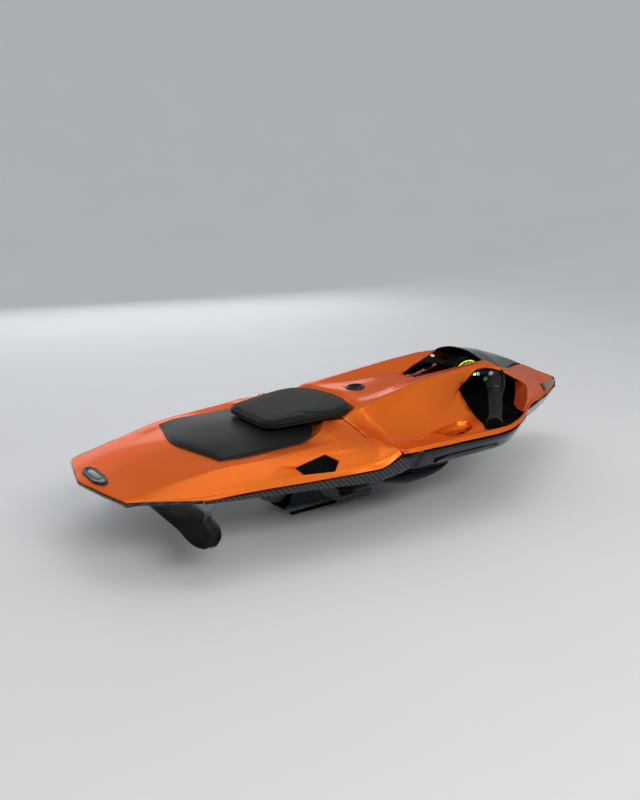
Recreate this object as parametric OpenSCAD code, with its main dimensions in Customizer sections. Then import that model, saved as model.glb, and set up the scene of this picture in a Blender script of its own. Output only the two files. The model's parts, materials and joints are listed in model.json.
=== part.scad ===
// Jet-driven water scooter, ridden lying on a chest pad with a hand on each grip.
// The bow points to +X, port (left) is +Y, up is +Z and the ground is z = 0.
// Heights in tables and in at_rim(), box() and along_x() count from the hull's rim plane.

/* [Hull] */
// Height of the hull's rim plane above the ground
rim_h = 151; // [149:0.5:155]
// Wall thickness of the moulded body shells
shell_t = 4; // [3:0.25:4.5]
// Wall thickness of the lower hull
hull_t = 4; // [3:0.25:4.5]
// Points per panel edge used to smooth the body shells
smooth_n = 2; // [1:1:2]

/* [Rest pads] */
// Thickness of the chest pad
pad_t = 15; // [13:1:17]
// Tilt of the chest pad, nose up
pad_tilt = 3.5; // [3.2:0.1:3.8]
// Thickness of the deck mat
mat_t = 3.5; // [2:0.5:4]

/* [Controls] */
// Diameter of a hand grip
grip_d = 30; // [26:1:31]
// Diameter of a thumb button
button_d = 11; // [9:0.5:12]
// Diameter of the round gauge
gauge_d = 52; // [46:1:54]

/* [Jet drive] */
// Inside radius of the water duct
duct_r = 48.5; // [47:0.5:49]
// Number of impeller blades
blade_n = 4; // [3:1:5]
// Number of stator vanes
vane_n = 5; // [5:2:7]
// Radius of the drive shaft
shaft_r = 8; // [7:0.5:8]
// Height of the jet axis below the rim plane
jet_drop = 88; // [87:0.5:89]

/* [Wing] */
// Chord of the rear wing at its middle
wing_chord = 78; // [70:1:84]
// Half span of the rear wing
wing_half = 233; // [215:1:238]
// Depth of the wing below the rim plane
wing_drop = 80; // [76:1:84]

/* [Hidden] */

orange = [0.86, 0.25, 0.05];
hull_black = [0.05, 0.06, 0.08];
trim_black = [0.10, 0.10, 0.11];
soft_black = [0.05, 0.05, 0.055];
steel = [0.6, 0.6, 0.62];

// ---------- point grids
tiny = 0.01;
no_gap = function (i, j) false;
function unit(v) = v / max(norm(v), 1e-9);
function lift(net) = [for (row = net) [for (p = row) p + [0, 0, rim_h]]];
function turned(net) = [for (j = [0:len(net[0]) - 1]) [for (row = net) row[j]]];
// A half section with its mirror image, from -Y to +Y
function full_row(row) =
  concat([for (i = [len(row) - 1:-1:1]) [row[i][0], -row[i][1], row[i][2]]], row);
function full(net) = [for (row = net) full_row(row)];
// Closed outline from the half [x, y] outline on +Y
function full_ring(half) = concat(half, [for (i = [len(half) - 2:-1:1]) [half[i][0], -half[i][1]]]);

// Tangent at point i, weighted by chord length; side is 1 after the point, -1 before it.
// A point listed in creases follows the chord on that side.
function tangent(path, i, side, creases) =
  let (last = len(path) - 1, crease = len(search(i, creases)) > 0)
  (i == 0 || (side > 0 && crease && i < last)) ? unit(path[i + 1] - path[i])
  : (i == last || (side < 0 && crease)) ? unit(path[i] - path[i - 1])
  : let (before = path[i] - path[i - 1], after = path[i + 1] - path[i],
      a = norm(before), b = norm(after))
    (before / max(a, tiny) * b + after / max(b, tiny) * a) / (a + b);
// Hermite curve through the points
function curve(path, creases = []) = [
  for (i = [0:len(path) - 2], k = [0:smooth_n - 1])
    let (t = k / smooth_n, chord = norm(path[i + 1] - path[i]),
      leave = tangent(path, i, 1, creases) * chord,
      arrive = tangent(path, i + 1, -1, creases) * chord)
    path[i] * (2*t*t*t - 3*t*t + 1) + leave * (t*t*t - 2*t*t + t)
      + path[i + 1] * (3*t*t - 2*t*t*t) + arrive * (t*t*t - t*t),
  path[len(path) - 1]];
function smoothed(net, creases = []) =
  let (across = [for (row = net) curve(row, creases)])
  turned([for (column = turned(across)) curve(column)]);

// Column numbers of a full net, from those of its half net (counted from the centre line)
function both_sides(list, cols) =
  concat([for (k = list) cols - 1 - k], [for (k = list) cols - 1 + k]);
function half_cell(j, cols) = let (mid = cols - 1) j < mid ? mid - 1 - j : j - mid;

function grid_normal(net, i, j) =
  let (last_i = len(net) - 1, last_j = len(net[0]) - 1)
  unit(cross(net[min(i + 1, last_i)][j] - net[max(i - 1, 0)][j],
    net[i][min(j + 1, last_j)] - net[i][max(j - 1, 0)]));
// Net moved along its normals by depth(i, j)
function pushed_by(net, depth) = [for (i = [0:len(net) - 1])
  [for (j = [0:len(net[0]) - 1]) net[i][j] + grid_normal(net, i, j) * depth(i, j)]];
function pushed(net, depth) = pushed_by(net, function (i, j) depth);

// Closed wall between two nets, face on the normal side; gap(i, j) leaves a cell open
module skin(face, back, gap = no_gap) {
  rows = len(face);
  cols = len(face[0]);
  n = rows * cols;
  function open(i, j) = i < 0 || j < 0 || i > rows - 2 || j > cols - 2 || gap(i, j);
  function quad(a, b, c, d) = [[a, b, c], [a, c, d]];
  faces = [for (i = [0:rows - 2], j = [0:cols - 2]) if (!open(i, j))
    let (a = i * cols + j, b = a + 1, c = a + cols + 1, d = a + cols)
      each concat(quad(a, b, c, d), quad(n + a, n + d, n + c, n + b),
        open(i, j - 1) ? quad(a, d, n + d, n + a) : [],
        open(i, j + 1) ? quad(c, b, n + b, n + c) : [],
        open(i - 1, j) ? quad(b, a, n + a, n + b) : [],
        open(i + 1, j) ? quad(d, c, n + c, n + d) : [])];
  points = concat([for (row = face) each row], [for (row = back) each row]);
  polyhedron(points = points, faces = faces, convexity = 12);
}
// Wall between two offsets of one net
module panel(net, face, back, gap = no_gap) {
  skin(pushed(net, face), pushed(net, back), gap);
}
// Solid through closed rings of the same point count
module loft(rings) {
  n = len(rings[0]);
  m = len(rings);
  sides = [for (i = [0:m - 2], k = [0:n - 1])
    let (a = i * n + k, b = i * n + (k + 1) % n) each [[a, a + n, b + n], [a, b + n, b]]];
  ends = [[for (k = [0:n - 1]) k], [for (k = [n - 1:-1:0]) (m - 1) * n + k]];
  polyhedron(points = [for (ring = rings) each ring], faces = concat(ends, sides), convexity = 6);
}

// ---------- placing
module at_rim(x = 0, y = 0, z = 0) { translate([x, y, rim_h + z]) children(); }
module box(corner, size) { at_rim(corner[0], corner[1], corner[2]) cube(size); }
// Turns +Z to +X, on the jet axis unless y and z are given
module along_x(x, y = 0, z = -jet_drop) { at_rim(x, y, z) rotate([0, 90, 0]) children(); }
module port_side() { mirror([0, 1, 0]) children(); }
module rod(from, to, r) {
  d = to - from;
  translate(from) rotate([0, acos(d[2] / norm(d)), atan2(d[1], d[0])])
    cylinder(r = r, h = norm(d), $fn = 48);
}

// ---------- rim line: [x, half width] and [x, height]
rim_y_tab = [[-660, 0], [-626, 139], [-509, 205], [-440, 217], [-274, 246], [-164, 263],
  [-109, 266], [-3, 272], [60, 275], [95, 277], [158, 277], [185, 273], [216, 262], [300, 215],
  [352, 178], [440, 139], [511, 101], [586, 56], [648, 17], [660, 9]];
rim_z_tab = [[-660, -3], [-164, 0], [-109, 20], [440, 20], [511, 12], [586, 6], [660, 0]];
function rim_y(x) = lookup(x, rim_y_tab);
function rim_z(x) = lookup(x, rim_z_tab);

// ---------- body shells
// Front body, half sections from the seam to the bow. Points: centre, port edge, trough foot,
// crest, crest edge, shoulder, wall foot, scoop, scoop low, lip foot, lip top, rim
body_net = [
  [[-150,0,46],[-150,12,46],[-150,92,46],[-150,113,62],[-152,122,62],[-146,144,54.5],
   [-144.4,166,47.3],[-142.5,188,40.6],[-130.5,213,34.9],[-125,238,31],[-113,262,27],[-109,266,20]],
  [[-92,0,59],[-92,12,59],[-112,90,57],[-108,108,74.5],[-108,116,73],[-92,134,47],
   [-82,160,29],[-87,193,17],[-93,225,12.5],[-98,244,14.5],[-99,258.5,25],[-99,264,18.4]],
  [[-83,0,78.6],[-83,12,78.6],[-99,93,76.3],[-98,108,77],[-98,116.3,75.6],[-82,131,49.5],
   [-73,157,28],[-76,191,16],[-82,223,11.5],[-86,244.5,13.5],[-86,260,25],[-86,265.5,18.2]],
  [[-40,0,83.4],[-40,12,83.4],[-38,74,81.5],[-38,101,85],[-38,109,84],[-32,119,57],
   [-22,150,25],[-24,186,13],[-30,216,9],[-29,246,12],[-28,264,26],[-28,270,19]],
  [[-16,0,85.6],[-16,12,85.6],[-14,66,84],[-14,98,88.5],[-14,106,87.5],[-8,116,61],
   [3,147,25],[2,183,12],[-3,214,8],[-2,246,12],[0,266,26],[0,272,19]],
  [[50,0,90],[50,12,90],[50,44,89],[50,90,99.5],[50,99,98.5],[52,111,74],
   [60,144,25],[60,180,10],[60,212,7],[60,248,11],[60,268,27],[60,275,20]],
  [[126,0,91],[126,12,91],[127,23,91],[117,88,107.5],[117,97,106.5],[118,108,85],
   [113,138,29],[108,172,13],[102,205,9],[95,246,12],[95,269,27],[95,277,20]],
  [[185,0,100],[185,12,100],[190,44,102],[195,88,114],[195,97,113],[211,99.5,80],
   [195,101,68],[190,146,31],[152,220,23],[140,248,19],[150,270,27],[158,277,20]],
  [[240,0,110],[240,12,110],[245,62,112],[249,89,119.5],[249,98,118.5],[249,101,108],
   [240,120,70],[220,160,40],[200,220,24],[178,250,19],[182,268,27],[185,273,20]],
  [[285,0,118],[285,12,118],[288,78,121],[300,91,117],[305,102,110],[303,105,104],
   [290,120,70],[270,160,40],[240,220,24],[204,248,20],[213,258,28],[216,262,20]],
  [[345,0,100],[345,12,100],[350,69,101],[338,104,99],[350,125,88],[362,146,74],
   [365,158,64],[341,181,45],[320,196,33],[301,208,25],[300,213,26],[300,215,20]],
  [[387,0,86],[387,12,86],[387,63,86],[385,95,81],[391,115,74],[396,130,66],
   [397,140,57],[387,151,44],[375,159,35],[365,166,28],[355,173,24],[352,178,20]],
  [[452,0,79],[452,8,79],[452,32,79],[450,62,72],[449,84,62],[448,97,53],
   [447,106,45],[446,116,36],[444,124,30],[443,130,25],[441,136,22],[440,139,20]],
  [[518,0,70],[518,2.5,70],[518,5,69.8],[516,32,61],[514,50,51],[511,63,41],
   [507,77,30],[508,84,24],[510,90,19],[511,95,16],[511,99,14],[511,101,12]],
  [[586,0,44.5],[586,3,44.3],[586,8,43.5],[586,21,38],[586,32,31.5],[586,39,26],
   [586,45,20],[586,48,16],[586,50.5,13],[586,53,10.5],[586,55,8],[586,56,6]],
  [[646,0,22],[646,1,21.9],[646,3,21.5],[646,7,19.5],[646,10,17],[646,12,14.5],
   [646,13.5,12],[646,14.7,9.5],[646,15.6,7.5],[646,16.4,5.5],[646,17,3.5],[646,17.5,2]]];
body_creases = [3, 4, 6, 10];
body_cols = len(body_net[0]);
body_mid = body_cols - 1;
// Open cells, by row and half column: hand opening, cockpit well, charge port
function body_open(i, h) = (i >= 7 && i <= 9 && h >= 5 && h <= 8)
  || (i >= 6 && i <= 12 && h <= 1) || (i == 3 && h == 0);

// Rear cover, half sections from the tail to the seam. Points: centre, mat middle, mat edge,
// recess foot, recess top, shoulder, ridge, flank, low flank, rim edge, rim.
// A row of ten points has no rim edge of its own.
rear_rows = [
  [[-659,0,0],[-650,45,0],[-641,88,0],[-637,104,0],[-636,108,0],
   [-635.4,110.5,0],[-633,120,0],[-629,131,-0.5],[-627.5,135,-1.5],[-626,139,-3]],
  [[-612,0,6],[-606,45,6],[-600,92,5.5],[-597,112,5.2],[-596,118,5],
   [-595.4,120.5,5],[-592,134,4.5],[-588,150,1],[-586,156,-0.5],[-584,162,-3]],
  [[-545,0,21],[-540,50,21],[-535,95,20],[-531,122,19.2],[-530,128,19],
   [-529.4,130.5,19],[-525,147,18],[-518,180,8],[-513,193,2.5],[-509,205,-3]],
  [[-472,0,35],[-462,58,34.5],[-446,112,33],[-441,136,33],[-440,142,33],
   [-439.6,144.5,33],[-436,167,32],[-438,196,17],[-439,207,8],[-440,217,-2]],
  [[-400,0,41],[-400,58,40.5],[-400,115,37.5],[-400,148,35],[-400,153,35],
   [-400,155.5,35],[-400,176,34],[-400,200,19],[-400,213,9],[-400,224,-1]],
  [[-340,0,45],[-340,58,44],[-340,115,39.5],[-340,147,35.5],[-340,152,35.5],
   [-340,154.5,35.7],[-340,181,36.5],[-330,206,27],[-318,228,9.5],[-316,239,-1]],
  [[-268,0,47.5],[-268,58,46.5],[-268,115,40.5],[-266,146,37],[-262,150,38],
   [-259,153,39.5],[-256,187,41.5],[-256,208,36.5],[-252,238,9],[-250,249,-1]],
  [[-232,0,47.5],[-232,52,46.5],[-234,92,43.5],[-236,130,40.5],[-222,139,51.5],
   [-216,161,51],[-206,190,44.5],[-199,226,35],[-197,246,14],[-196,257,-1]],
  [[-194,0,47.5],[-195,45,47],[-202,75,44],[-209,95,42.5],[-184,98,57.5],
   [-180,152,52.5],[-165,186,43.5],[-158,225,35.5],[-160,248,18],[-162,262.5,1]],
  [[-154,0,44],[-154,58,44],[-154,92,43.5],[-156,104,50],[-154,123,61],[-150,144,54],
   [-147.5,188,40.1],[-135,214,34.7],[-129.6,238,30.8],[-119.6,262,26.4],[-116.4,265.4,20]]];
// Puts the missing rim edge between low flank and rim
function with_edge(row) = len(row) == 11 ? row
  : concat([for (k = [0:8]) row[k]], [row[8] * 0.45 + row[9] * 0.55], [row[9]]);
rear_net = [for (row = rear_rows) with_edge(row)];
rear_creases = [3, 4, 5, 6];
rear_cols = len(rear_net[0]);
rear_mid = (rear_cols - 1) * smooth_n;
// The open cell on each flank, by row and half column
vent_row = 5;
vent_col = 7;

body_skin = smoothed(lift(full(body_net)), both_sides(body_creases, body_cols));
rear_skin = smoothed(lift(full(rear_net)), both_sides(rear_creases, rear_cols));

module top_shell() {
  arch_row = 10;
  arch_t = 20;
  // The frame of each hand opening is thicker at its front arch
  depth = function (i, j) let (h = abs(j / smooth_n - body_mid))
    (i / smooth_n == arch_row && h >= 5 && h <= 8) ? -arch_t : -shell_t;
  gap = function (i, j)
    body_open(floor(i / smooth_n), half_cell(floor(j / smooth_n), body_cols));
  color(orange) skin(body_skin, pushed_by(body_skin, depth), gap);
}
module rear_cover() {
  gap = function (i, j) floor(i / smooth_n) == vent_row
    && half_cell(floor(j / smooth_n), rear_cols) == vent_col;
  color(orange) panel(rear_skin, 0, -shell_t, gap);
}

// ---------- lower hull: [x, height] of keel, chine and side break; [x, inset from the rim]
keel_tab = [[-151, -147], [-60, -141], [27, -134], [81, -126], [112, -121], [160, -116],
  [300, -100], [420, -78], [520, -56], [600, -38], [652, -20]];
chine_tab = [[-151, -58], [0, -48], [139, -40], [205, -34], [269, -25], [350, -24],
  [450, -26], [520, -24], [600, -20], [652, -15]];
side_tab = [[-151, -26], [200, -20], [330, -13], [450, -12], [520, -13], [652, -12]];
inset_tab = [[-84, 13.5], [-62, 0.5], [500, 0.5], [652, 0.3]];
chine_y = 0.78; // share of the half width, as is side_y
side_y = 0.93;
edge_in = 1.2; // inset of the upper edge line
edge_drop = 13; // its depth below the rim line
function hull_y(x) = rim_y(x) - lookup(x, inset_tab);
function hull_row(x) =
  let (y = hull_y(x), keel = lookup(x, keel_tab), chine = lookup(x, chine_tab),
    rise = chine - keel, flat = min(46, 0.25 * y))
  [[x, 0, keel], [x, flat, keel + rise * 0.03], [x, max(flat + 1, 0.36 * y), keel + rise * 0.28],
   [x, chine_y * y, chine], [x, side_y * y, lookup(x, side_tab)],
   [x, y - edge_in, rim_z(x) - edge_drop], [x, y, rim_z(x) - 6.5]];
rim_xs = [0, 60, 95, 158, 185, 216, 258, 300, 352, 396, 440, 475, 511, 548, 586, 617];
hull_xs = concat([-150, -140, -70, -62], rim_xs, [642]);
hull_net = lift(full([for (x = hull_xs) hull_row(x)]));
hull_cols = 7;
module bottom_hull() {
  // The open cells beside the keel lie over the jet intake
  color(hull_black)
    panel(hull_net, hull_t, 0, function (i, j) i == 1 && half_cell(j, hull_cols) == 0);
}
// Rubber strip between the body shell and the lower hull
module hull_gasket() {
  function ring(x, side) =
    let (outer = rim_y(x) - edge_in, inner = rim_y(x) - 1 - min(6, rim_y(x) * 0.3),
      low = rim_h + rim_z(x) - 5.4, high = low + 1,
      corners = [[inner, low], [outer, low], [outer, high], [inner, high]])
    [for (k = side > 0 ? [0, 1, 2, 3] : [3, 2, 1, 0]) [x, side * corners[k][0], corners[k][1]]];
  color([0.03, 0.03, 0.03]) for (side = [-1, 1])
    loft([for (x = concat([-60], rim_xs, [636])) ring(x, side)]);
}

// Shallow tray that closes the tail from below.
// Stations: x, forward shift at which the rim width is read, inset, forward sweep of the side
tray_stations = [[-652, 26, 3, 0.245], [-600, 0, 3, 0.12], [-540, 0, 3, 0], [-509, 0, 16, 0],
  [-440, 0, 16, 0], [-350, 0, 16, 0], [-274, 0, 16, 0], [-210, 0, 16, 0], [-156, 0, 16, 0]];
tray_floor_tab = [[-655, -9], [-600, -12], [-509, -14], [-280, -22], [-154, -29]];
function tray_row(s) =
  let (x = s[0], y = rim_y(x + s[1]) - s[2], floor_z = lookup(x, tray_floor_tab))
  [for (p = [[0, floor_z], [0.4, floor_z], [0.8, floor_z], [0.96, floor_z + 1], [1, -6.5]])
    [x + s[3] * y * p[0], y * p[0], p[1]]];
module tail_tray() {
  color(trim_black) panel(lift(full([for (s = tray_stations) tray_row(s)])), 2.5, 0);
}

// Long side fairing under the rim, from the tail chamfer to the waist
fairing_xs = [-509, -484, -440, -350, -274, -210, -164, -136, -112, -96];
fairing_top_tab = [[-509, -7.5], [-164, -4.5], [-112, 13], [-96, -2]];
fairing_low_tab = [[-509, -12], [-484, -14], [-274, -22], [-170, -28], [-112, -20], [-96, -14]];
fairing_net = [for (x = fairing_xs)
  let (y = rim_y(x), top = lookup(x, fairing_top_tab), low = lookup(x, fairing_low_tab))
  [[x, -(y - 4), low], [x, -(y - 1), (top + low) / 2], [x, -(y - 1), top]]];
module side_fairing_right() { color([0.12, 0.12, 0.13]) panel(lift(fairing_net), 0, -7.5); }
module side_fairing_left() { port_side() side_fairing_right(); }

// Dark inlay on the waist of the lower hull. Stations: x, share of the full height
trim_stations = [[-20, 0.62], [20, 1], [60, 1], [95, 1], [120, 1], [158, 0.62]];
trim_net = [for (s = trim_stations)
  let (x = s[0], y = hull_y(x), low = lookup(x, side_tab))
  [[x, -(side_y * y + 1.2), low + 2],
   [x, -(0.5 * (side_y * y + y - edge_in) + 1),
    low + (rim_z(x) - edge_drop - low) * 0.55 * s[1]]]];
module side_trim_right() { color([0.04, 0.03, 0.03]) panel(lift(trim_net), 2.2, 0.5); }
module side_trim_left() { port_side() side_trim_right(); }

// ---------- transom
duct_wall = 3.5;
duct_outer = duct_r + duct_wall;
bolt_yz = [for (side = [-1, 1]) each [[side * 75, -98], [side * 120, -62], [side * 180, -52]]];
// Bulkhead behind the lower hull, with the passage of the water duct
module transom_plate() {
  half_outline = [[44, -143], [92, -120], [200, -58], [236, -34]];
  cut_x = -156;
  color([0.07, 0.07, 0.08]) difference() {
    at_rim(-154.4) rotate([90, 0, 90]) linear_extrude(height = 3.6)
      polygon(concat([for (i = [3:-1:0]) [-half_outline[i][0], half_outline[i][1]]],
        half_outline));
    along_x(cut_x) cylinder(r = duct_outer + 0.3, h = 6, $fn = 96);
    for (p = bolt_yz) along_x(cut_x, p[0], p[1]) cylinder(r = 2.6, h = 6, $fn = 32);
  }
}
module transom_screws() {
  color(steel) for (p = bolt_yz) {
    along_x(-158.2, p[0], p[1]) cylinder(r = 4.5, h = 3.6, $fn = 32);
    along_x(-155, p[0], p[1]) cylinder(r = 2.5, h = 4, $fn = 32);
  }
}

// ---------- bow
// Stations: x, half width, half height; the section is in shares of those two
module nose_cap() {
  stations = [[648, 19, 18], [655, 13, 17], [660, 7.5, 14]];
  section = [[0, -1], [0.75, -0.92], [1, -0.4], [0.95, 0.3], [0.6, 0.85], [0, 1.05],
    [-0.6, 0.85], [-0.95, 0.3], [-1, -0.4], [-0.75, -0.92]];
  color(trim_black) loft([for (s = stations)
    [for (p = section) [s[0], p[0] * s[1], rim_h + 1 + p[1] * s[2]]]]);
}
// Long dark light lens on each side of the bow, on columns of the body skin
lens_net = [for (i = [13 * smooth_n:15 * smooth_n])
  [for (k = [9, 7, 6]) body_skin[i][(body_mid - k) * smooth_n]]];
module nose_lens_right() { color([0.03, 0.03, 0.04]) panel(lens_net, 2.2, 0.5); }
module nose_lens_left() { port_side() nose_lens_right(); }

// ---------- deck and chest pad
mat_gap = 0.6;
mat_net = [for (i = [3 * smooth_n:8 * smooth_n])
  [for (j = [rear_mid - 3 * smooth_n:rear_mid + 3 * smooth_n])
    let (p = rear_skin[i][j]) [p[0], p[1] * 0.985, p[2]]]];
module deck_mat() { color(soft_black) panel(mat_net, mat_gap + mat_t, mat_gap); }

pad_base = 54;
pad_half = [[-312, 0], [-311, 66], [-297, 86], [-230, 102], [-160, 112], [-129, 106],
  [-108, 88], [-95, 50], [-91, 0]];
pad_mid_x = -195;
function pad_z(x) = rim_h + pad_base + (x - pad_half[0][0]) * tan(pad_tilt);
module chest_pad() {
  // Outline scale and height above the pad's underside
  layers = [[0.965, 0], [1, 4], [1, pad_t - 5], [0.93, pad_t]];
  color([0.04, 0.04, 0.045]) loft([for (s = layers) [for (p = full_ring(pad_half))
    [(p[0] - pad_mid_x) * s[0] + pad_mid_x, p[1] * s[0], pad_z(p[0]) + s[1]]]]);
}
module pad_support() {
  ring = full_ring([[-276, 0], [-274, 46], [-262, 66], [-214, 76], [-170, 80], [-140, 78],
    [-128, 60], [-128, 0]]);
  color([0.05, 0.05, 0.05]) loft([
    [for (p = ring) [p[0], p[1], rim_h + pad_base - 1]],
    [for (p = ring) [p[0], p[1], pad_z(p[0]) - 0.4]]]);
}
module badge_plate() {
  color([0.06, 0.06, 0.06]) at_rim(-630, 0, 4.6) rotate([0, -7.2, 0])
    linear_extrude(height = 1.8)
      polygon([[-13, -30], [-3, -52], [6, -50], [14, -28], [14, 28], [6, 50], [-3, 52],
        [-13, 30]]);
}
// Mesh sunk in the open cell of the rear cover
vent_cell = [for (i = [vent_row, vent_row + 1]) [for (k = [vent_col + 1, vent_col])
  rear_skin[i * smooth_n][rear_mid - k * smooth_n]]];
vent_mid = (vent_cell[0][0] + vent_cell[0][1] + vent_cell[1][0] + vent_cell[1][1]) / 4;
vent_net = [for (row = vent_cell) [for (p = row) vent_mid + (p - vent_mid) * 0.93]];
module vent_mesh_right() { color([0.06, 0.06, 0.06]) panel(vent_net, -2.5, -5); }
module vent_mesh_left() { port_side() vent_mesh_right(); }

// ---------- charge port
port_bore_r = 9;
port_recess_r = 15.6;
module at_port() { at_rim(-28, 0, 84.6) rotate([0, -5.2, 0]) children(); }
module port_ring() {
  color([0.35, 0.35, 0.37]) at_port() difference() {
    union() {
      translate([0, 0, 0.8]) cylinder(r = 20, h = 2.4, $fn = 96);
      translate([0, 0, -18]) cylinder(r = 11.2, h = 19, $fn = 64);
    }
    translate([0, 0, -15]) cylinder(r = port_bore_r, h = 30, $fn = 64);
    translate([0, 0, 1.6]) cylinder(r = port_recess_r, h = 5, $fn = 72);
  }
}
module port_seal() {
  color([0.02, 0.02, 0.02]) at_port()
    rotate_extrude($fn = 72) translate([12.5, 2.25]) circle(r = 0.6, $fn = 24);
}
module port_cap() {
  color([0.06, 0.06, 0.065]) at_port() difference() {
    union() {
      translate([0, 0, 2.9]) cylinder(r = port_recess_r - 0.4, h = 2.2, $fn = 72);
      translate([0, 0, -10]) cylinder(r = port_bore_r - 0.1, h = 13, $fn = 64);
    }
    translate([-11, -2.5, 3.9]) cube([22, 5, 3]);
  }
}

// ---------- cockpit
// Visor, half sections from rear to front, centre to edge
visor_net = [
  [[286.5,0,139],[286.5,26,137.5],[287,50,132],[288,67,126],[289,76.8,121.2]],
  [[345,0,130],[346,25,127],[347,48,118],[348.5,61,108.5],[350,67.8,101.4]],
  [[392,0,117],[391,22,113],[389,42,103],[388,55,92.5],[387,61.8,86.6]],
  [[452,0,97],[452,12,95.3],[452,20,90],[452,26.2,83.8],[452,30,80.5]],
  [[484,0,85],[484,7,84],[484,11,81.5],[484,13.6,79],[484,15,77.2]],
  [[514.5,0,71.9],[514.5,1.4,71.8],[514.5,2.3,71.6],[514.5,3,71.4],[514.5,3.4,71.2]]];
module visor() { color([0.12, 0.12, 0.14, 0.85]) panel(smoothed(lift(full(visor_net))), 0, -3); }

// Black liner of the cockpit and of both hand openings: floor rows, then the front wall
tub_y_tab = [[112, 244], [196, 244], [212, 238], [292, 192], [345, 152], [372, 130]];
tub_floor = [for (x = [128, 160, 196, 212, 250, 292, 330]) let (y = lookup(x, tub_y_tab))
  [[x, 0, -12], [x, 0.3 * y, -10], [x, 0.6 * y, -6], [x, y - 14, -3], [x, y - 3, 1], [x, y, 8]]];
tub_front = [
  [[352,0,8],[352,38,9],[350,76,10],[346,118,10],[342,132,12],[338,142,14]],
  [[358,0,70],[358,30,70],[356,60,66],[352,92,58],[346,112,52],[340,126,44]]];
module cockpit_tub() {
  color([0.03, 0.03, 0.035]) panel(lift(full(concat(tub_floor, tub_front))), 0, -2.5);
}

// Centre line of the starboard grip: head under the crest, bar down to the lip
grip_path = [[292, -116, 82], [268, -142, 66], [216, -196, 38], [176, -232, 20]];
grip_head = grip_path[0];
grip_head_r = 20;
bezel_r = gauge_d / 2 + 4;

// Console under the visor, with an arm along each crest that carries a grip
module console() {
  module ball(x, y, z, r) { at_rim(x, y, z) sphere(r = r, $fn = 32); }
  color([0.06, 0.06, 0.065]) difference() {
    union() {
      hull() {
        box([322, -66, 62], [26, 132, 4]);
        box([306, -60, 84], [30, 120, 6]);
        box([322, -52, 104], [16, 104, 4]);
      }
      for (side = [-1, 1]) {
        hull() {
          ball(322, side * 62, 80, 10);
          ball(296, side * 84, 92, 9);
        }
        hull() {
          ball(296, side * 84, 92, 9);
          ball(240, side * 82, 95, 6);
        }
      }
    }
    at_gauge() translate([0, 0, -6]) cylinder(r = bezel_r + 0.2, h = 60, $fn = 96);
    for (side = [-1, 1])
      at_rim(grip_head[0], side * grip_head[1], grip_head[2]) sphere(r = grip_head_r + 0.5);
  }
}
module at_gauge() { at_rim(322, 0, 84) rotate([0, -38, 0]) children(); }
module gauge_bezel() {
  color([0.09, 0.09, 0.1]) at_gauge() translate([0, 0, -5.5]) difference() {
    cylinder(r = bezel_r, h = 9, $fn = 96);
    translate([0, 0, 5]) cylinder(r = gauge_d / 2 + 0.2, h = 9, $fn = 96);
  }
}
module gauge_screen() {
  color([0.75, 0.85, 0.1]) at_gauge() cylinder(r = gauge_d / 2, h = 2, $fn = 96);
}

// Thumb buttons on the grip head, speed then boost: place on its face, and length
button_at = [[-6, 9], [6, -5]];
button_len = [6, 7.2];
module at_button(k, z) {
  at_rim(grip_head[0], grip_head[1], grip_head[2]) rotate([0, -58, 0]) rotate([0, 0, 20])
    translate([button_at[k][0], button_at[k][1], z]) children();
}
module button(k) { at_button(k, 14) cylinder(r = button_d / 2, h = button_len[k], $fn = 48); }
module grip_right() {
  path = [for (p = grip_path) p + [0, 0, rim_h]];
  r = grip_d / 2;
  joint_r = [grip_head_r, r + 1.8, r + 0.8];
  bar_r = [r + 1, r, r];
  color(soft_black) difference() {
    union() for (i = [0:2]) {
      translate(path[i]) sphere(r = joint_r[i]);
      rod(path[i], path[i + 1], bar_r[i]);
    }
    for (k = [0, 1]) at_button(k, 11.5) cylinder(r = button_d / 2 + 0.15, h = 20, $fn = 48);
  }
}
module grip_left() { port_side() grip_right(); }
module speed_button_right() { color([0.2, 0.7, 0.3]) button(0); }
module boost_button_right() { color([0.8, 0.8, 0.8]) button(1); }
module speed_button_left() { port_side() speed_button_right(); }
module boost_button_left() { port_side() boost_button_right(); }

// ---------- wing, fins and skids
// Foil section in shares of chord and thickness, leading edge at the origin
foil_shape = [[1, 0], [0.8, 0.30], [0.55, 0.44], [0.3, 0.5], [0.12, 0.40], [0.03, 0.22], [0, 0],
  [0.03, -0.20], [0.12, -0.34], [0.3, -0.40], [0.55, -0.34], [0.8, -0.2]];
function foil(chord, thick) = [for (p = foil_shape) [-p[0] * chord, p[1] * thick]];
// Stations: y, x of the leading edge, share of the chord
wing_stations = [[0, -450, 1], [90, -452, 0.99], [140, -458, 0.93], [177, -468, 0.86],
  [208, -484, 0.66], [wing_half, -507, 0.27]];
module rear_wing() {
  last = len(wing_stations) - 1;
  stations = concat([for (i = [last:-1:1]) let (s = wing_stations[i]) [-s[0], s[1], s[2]]],
    wing_stations);
  color([0.10, 0.10, 0.105]) loft([for (s = stations)
    [for (p = foil(wing_chord * s[2], 8 * (0.35 + 0.65 * s[2])))
      [s[1] + p[0], s[0], rim_h - wing_drop + p[1]]]]);
}

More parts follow.
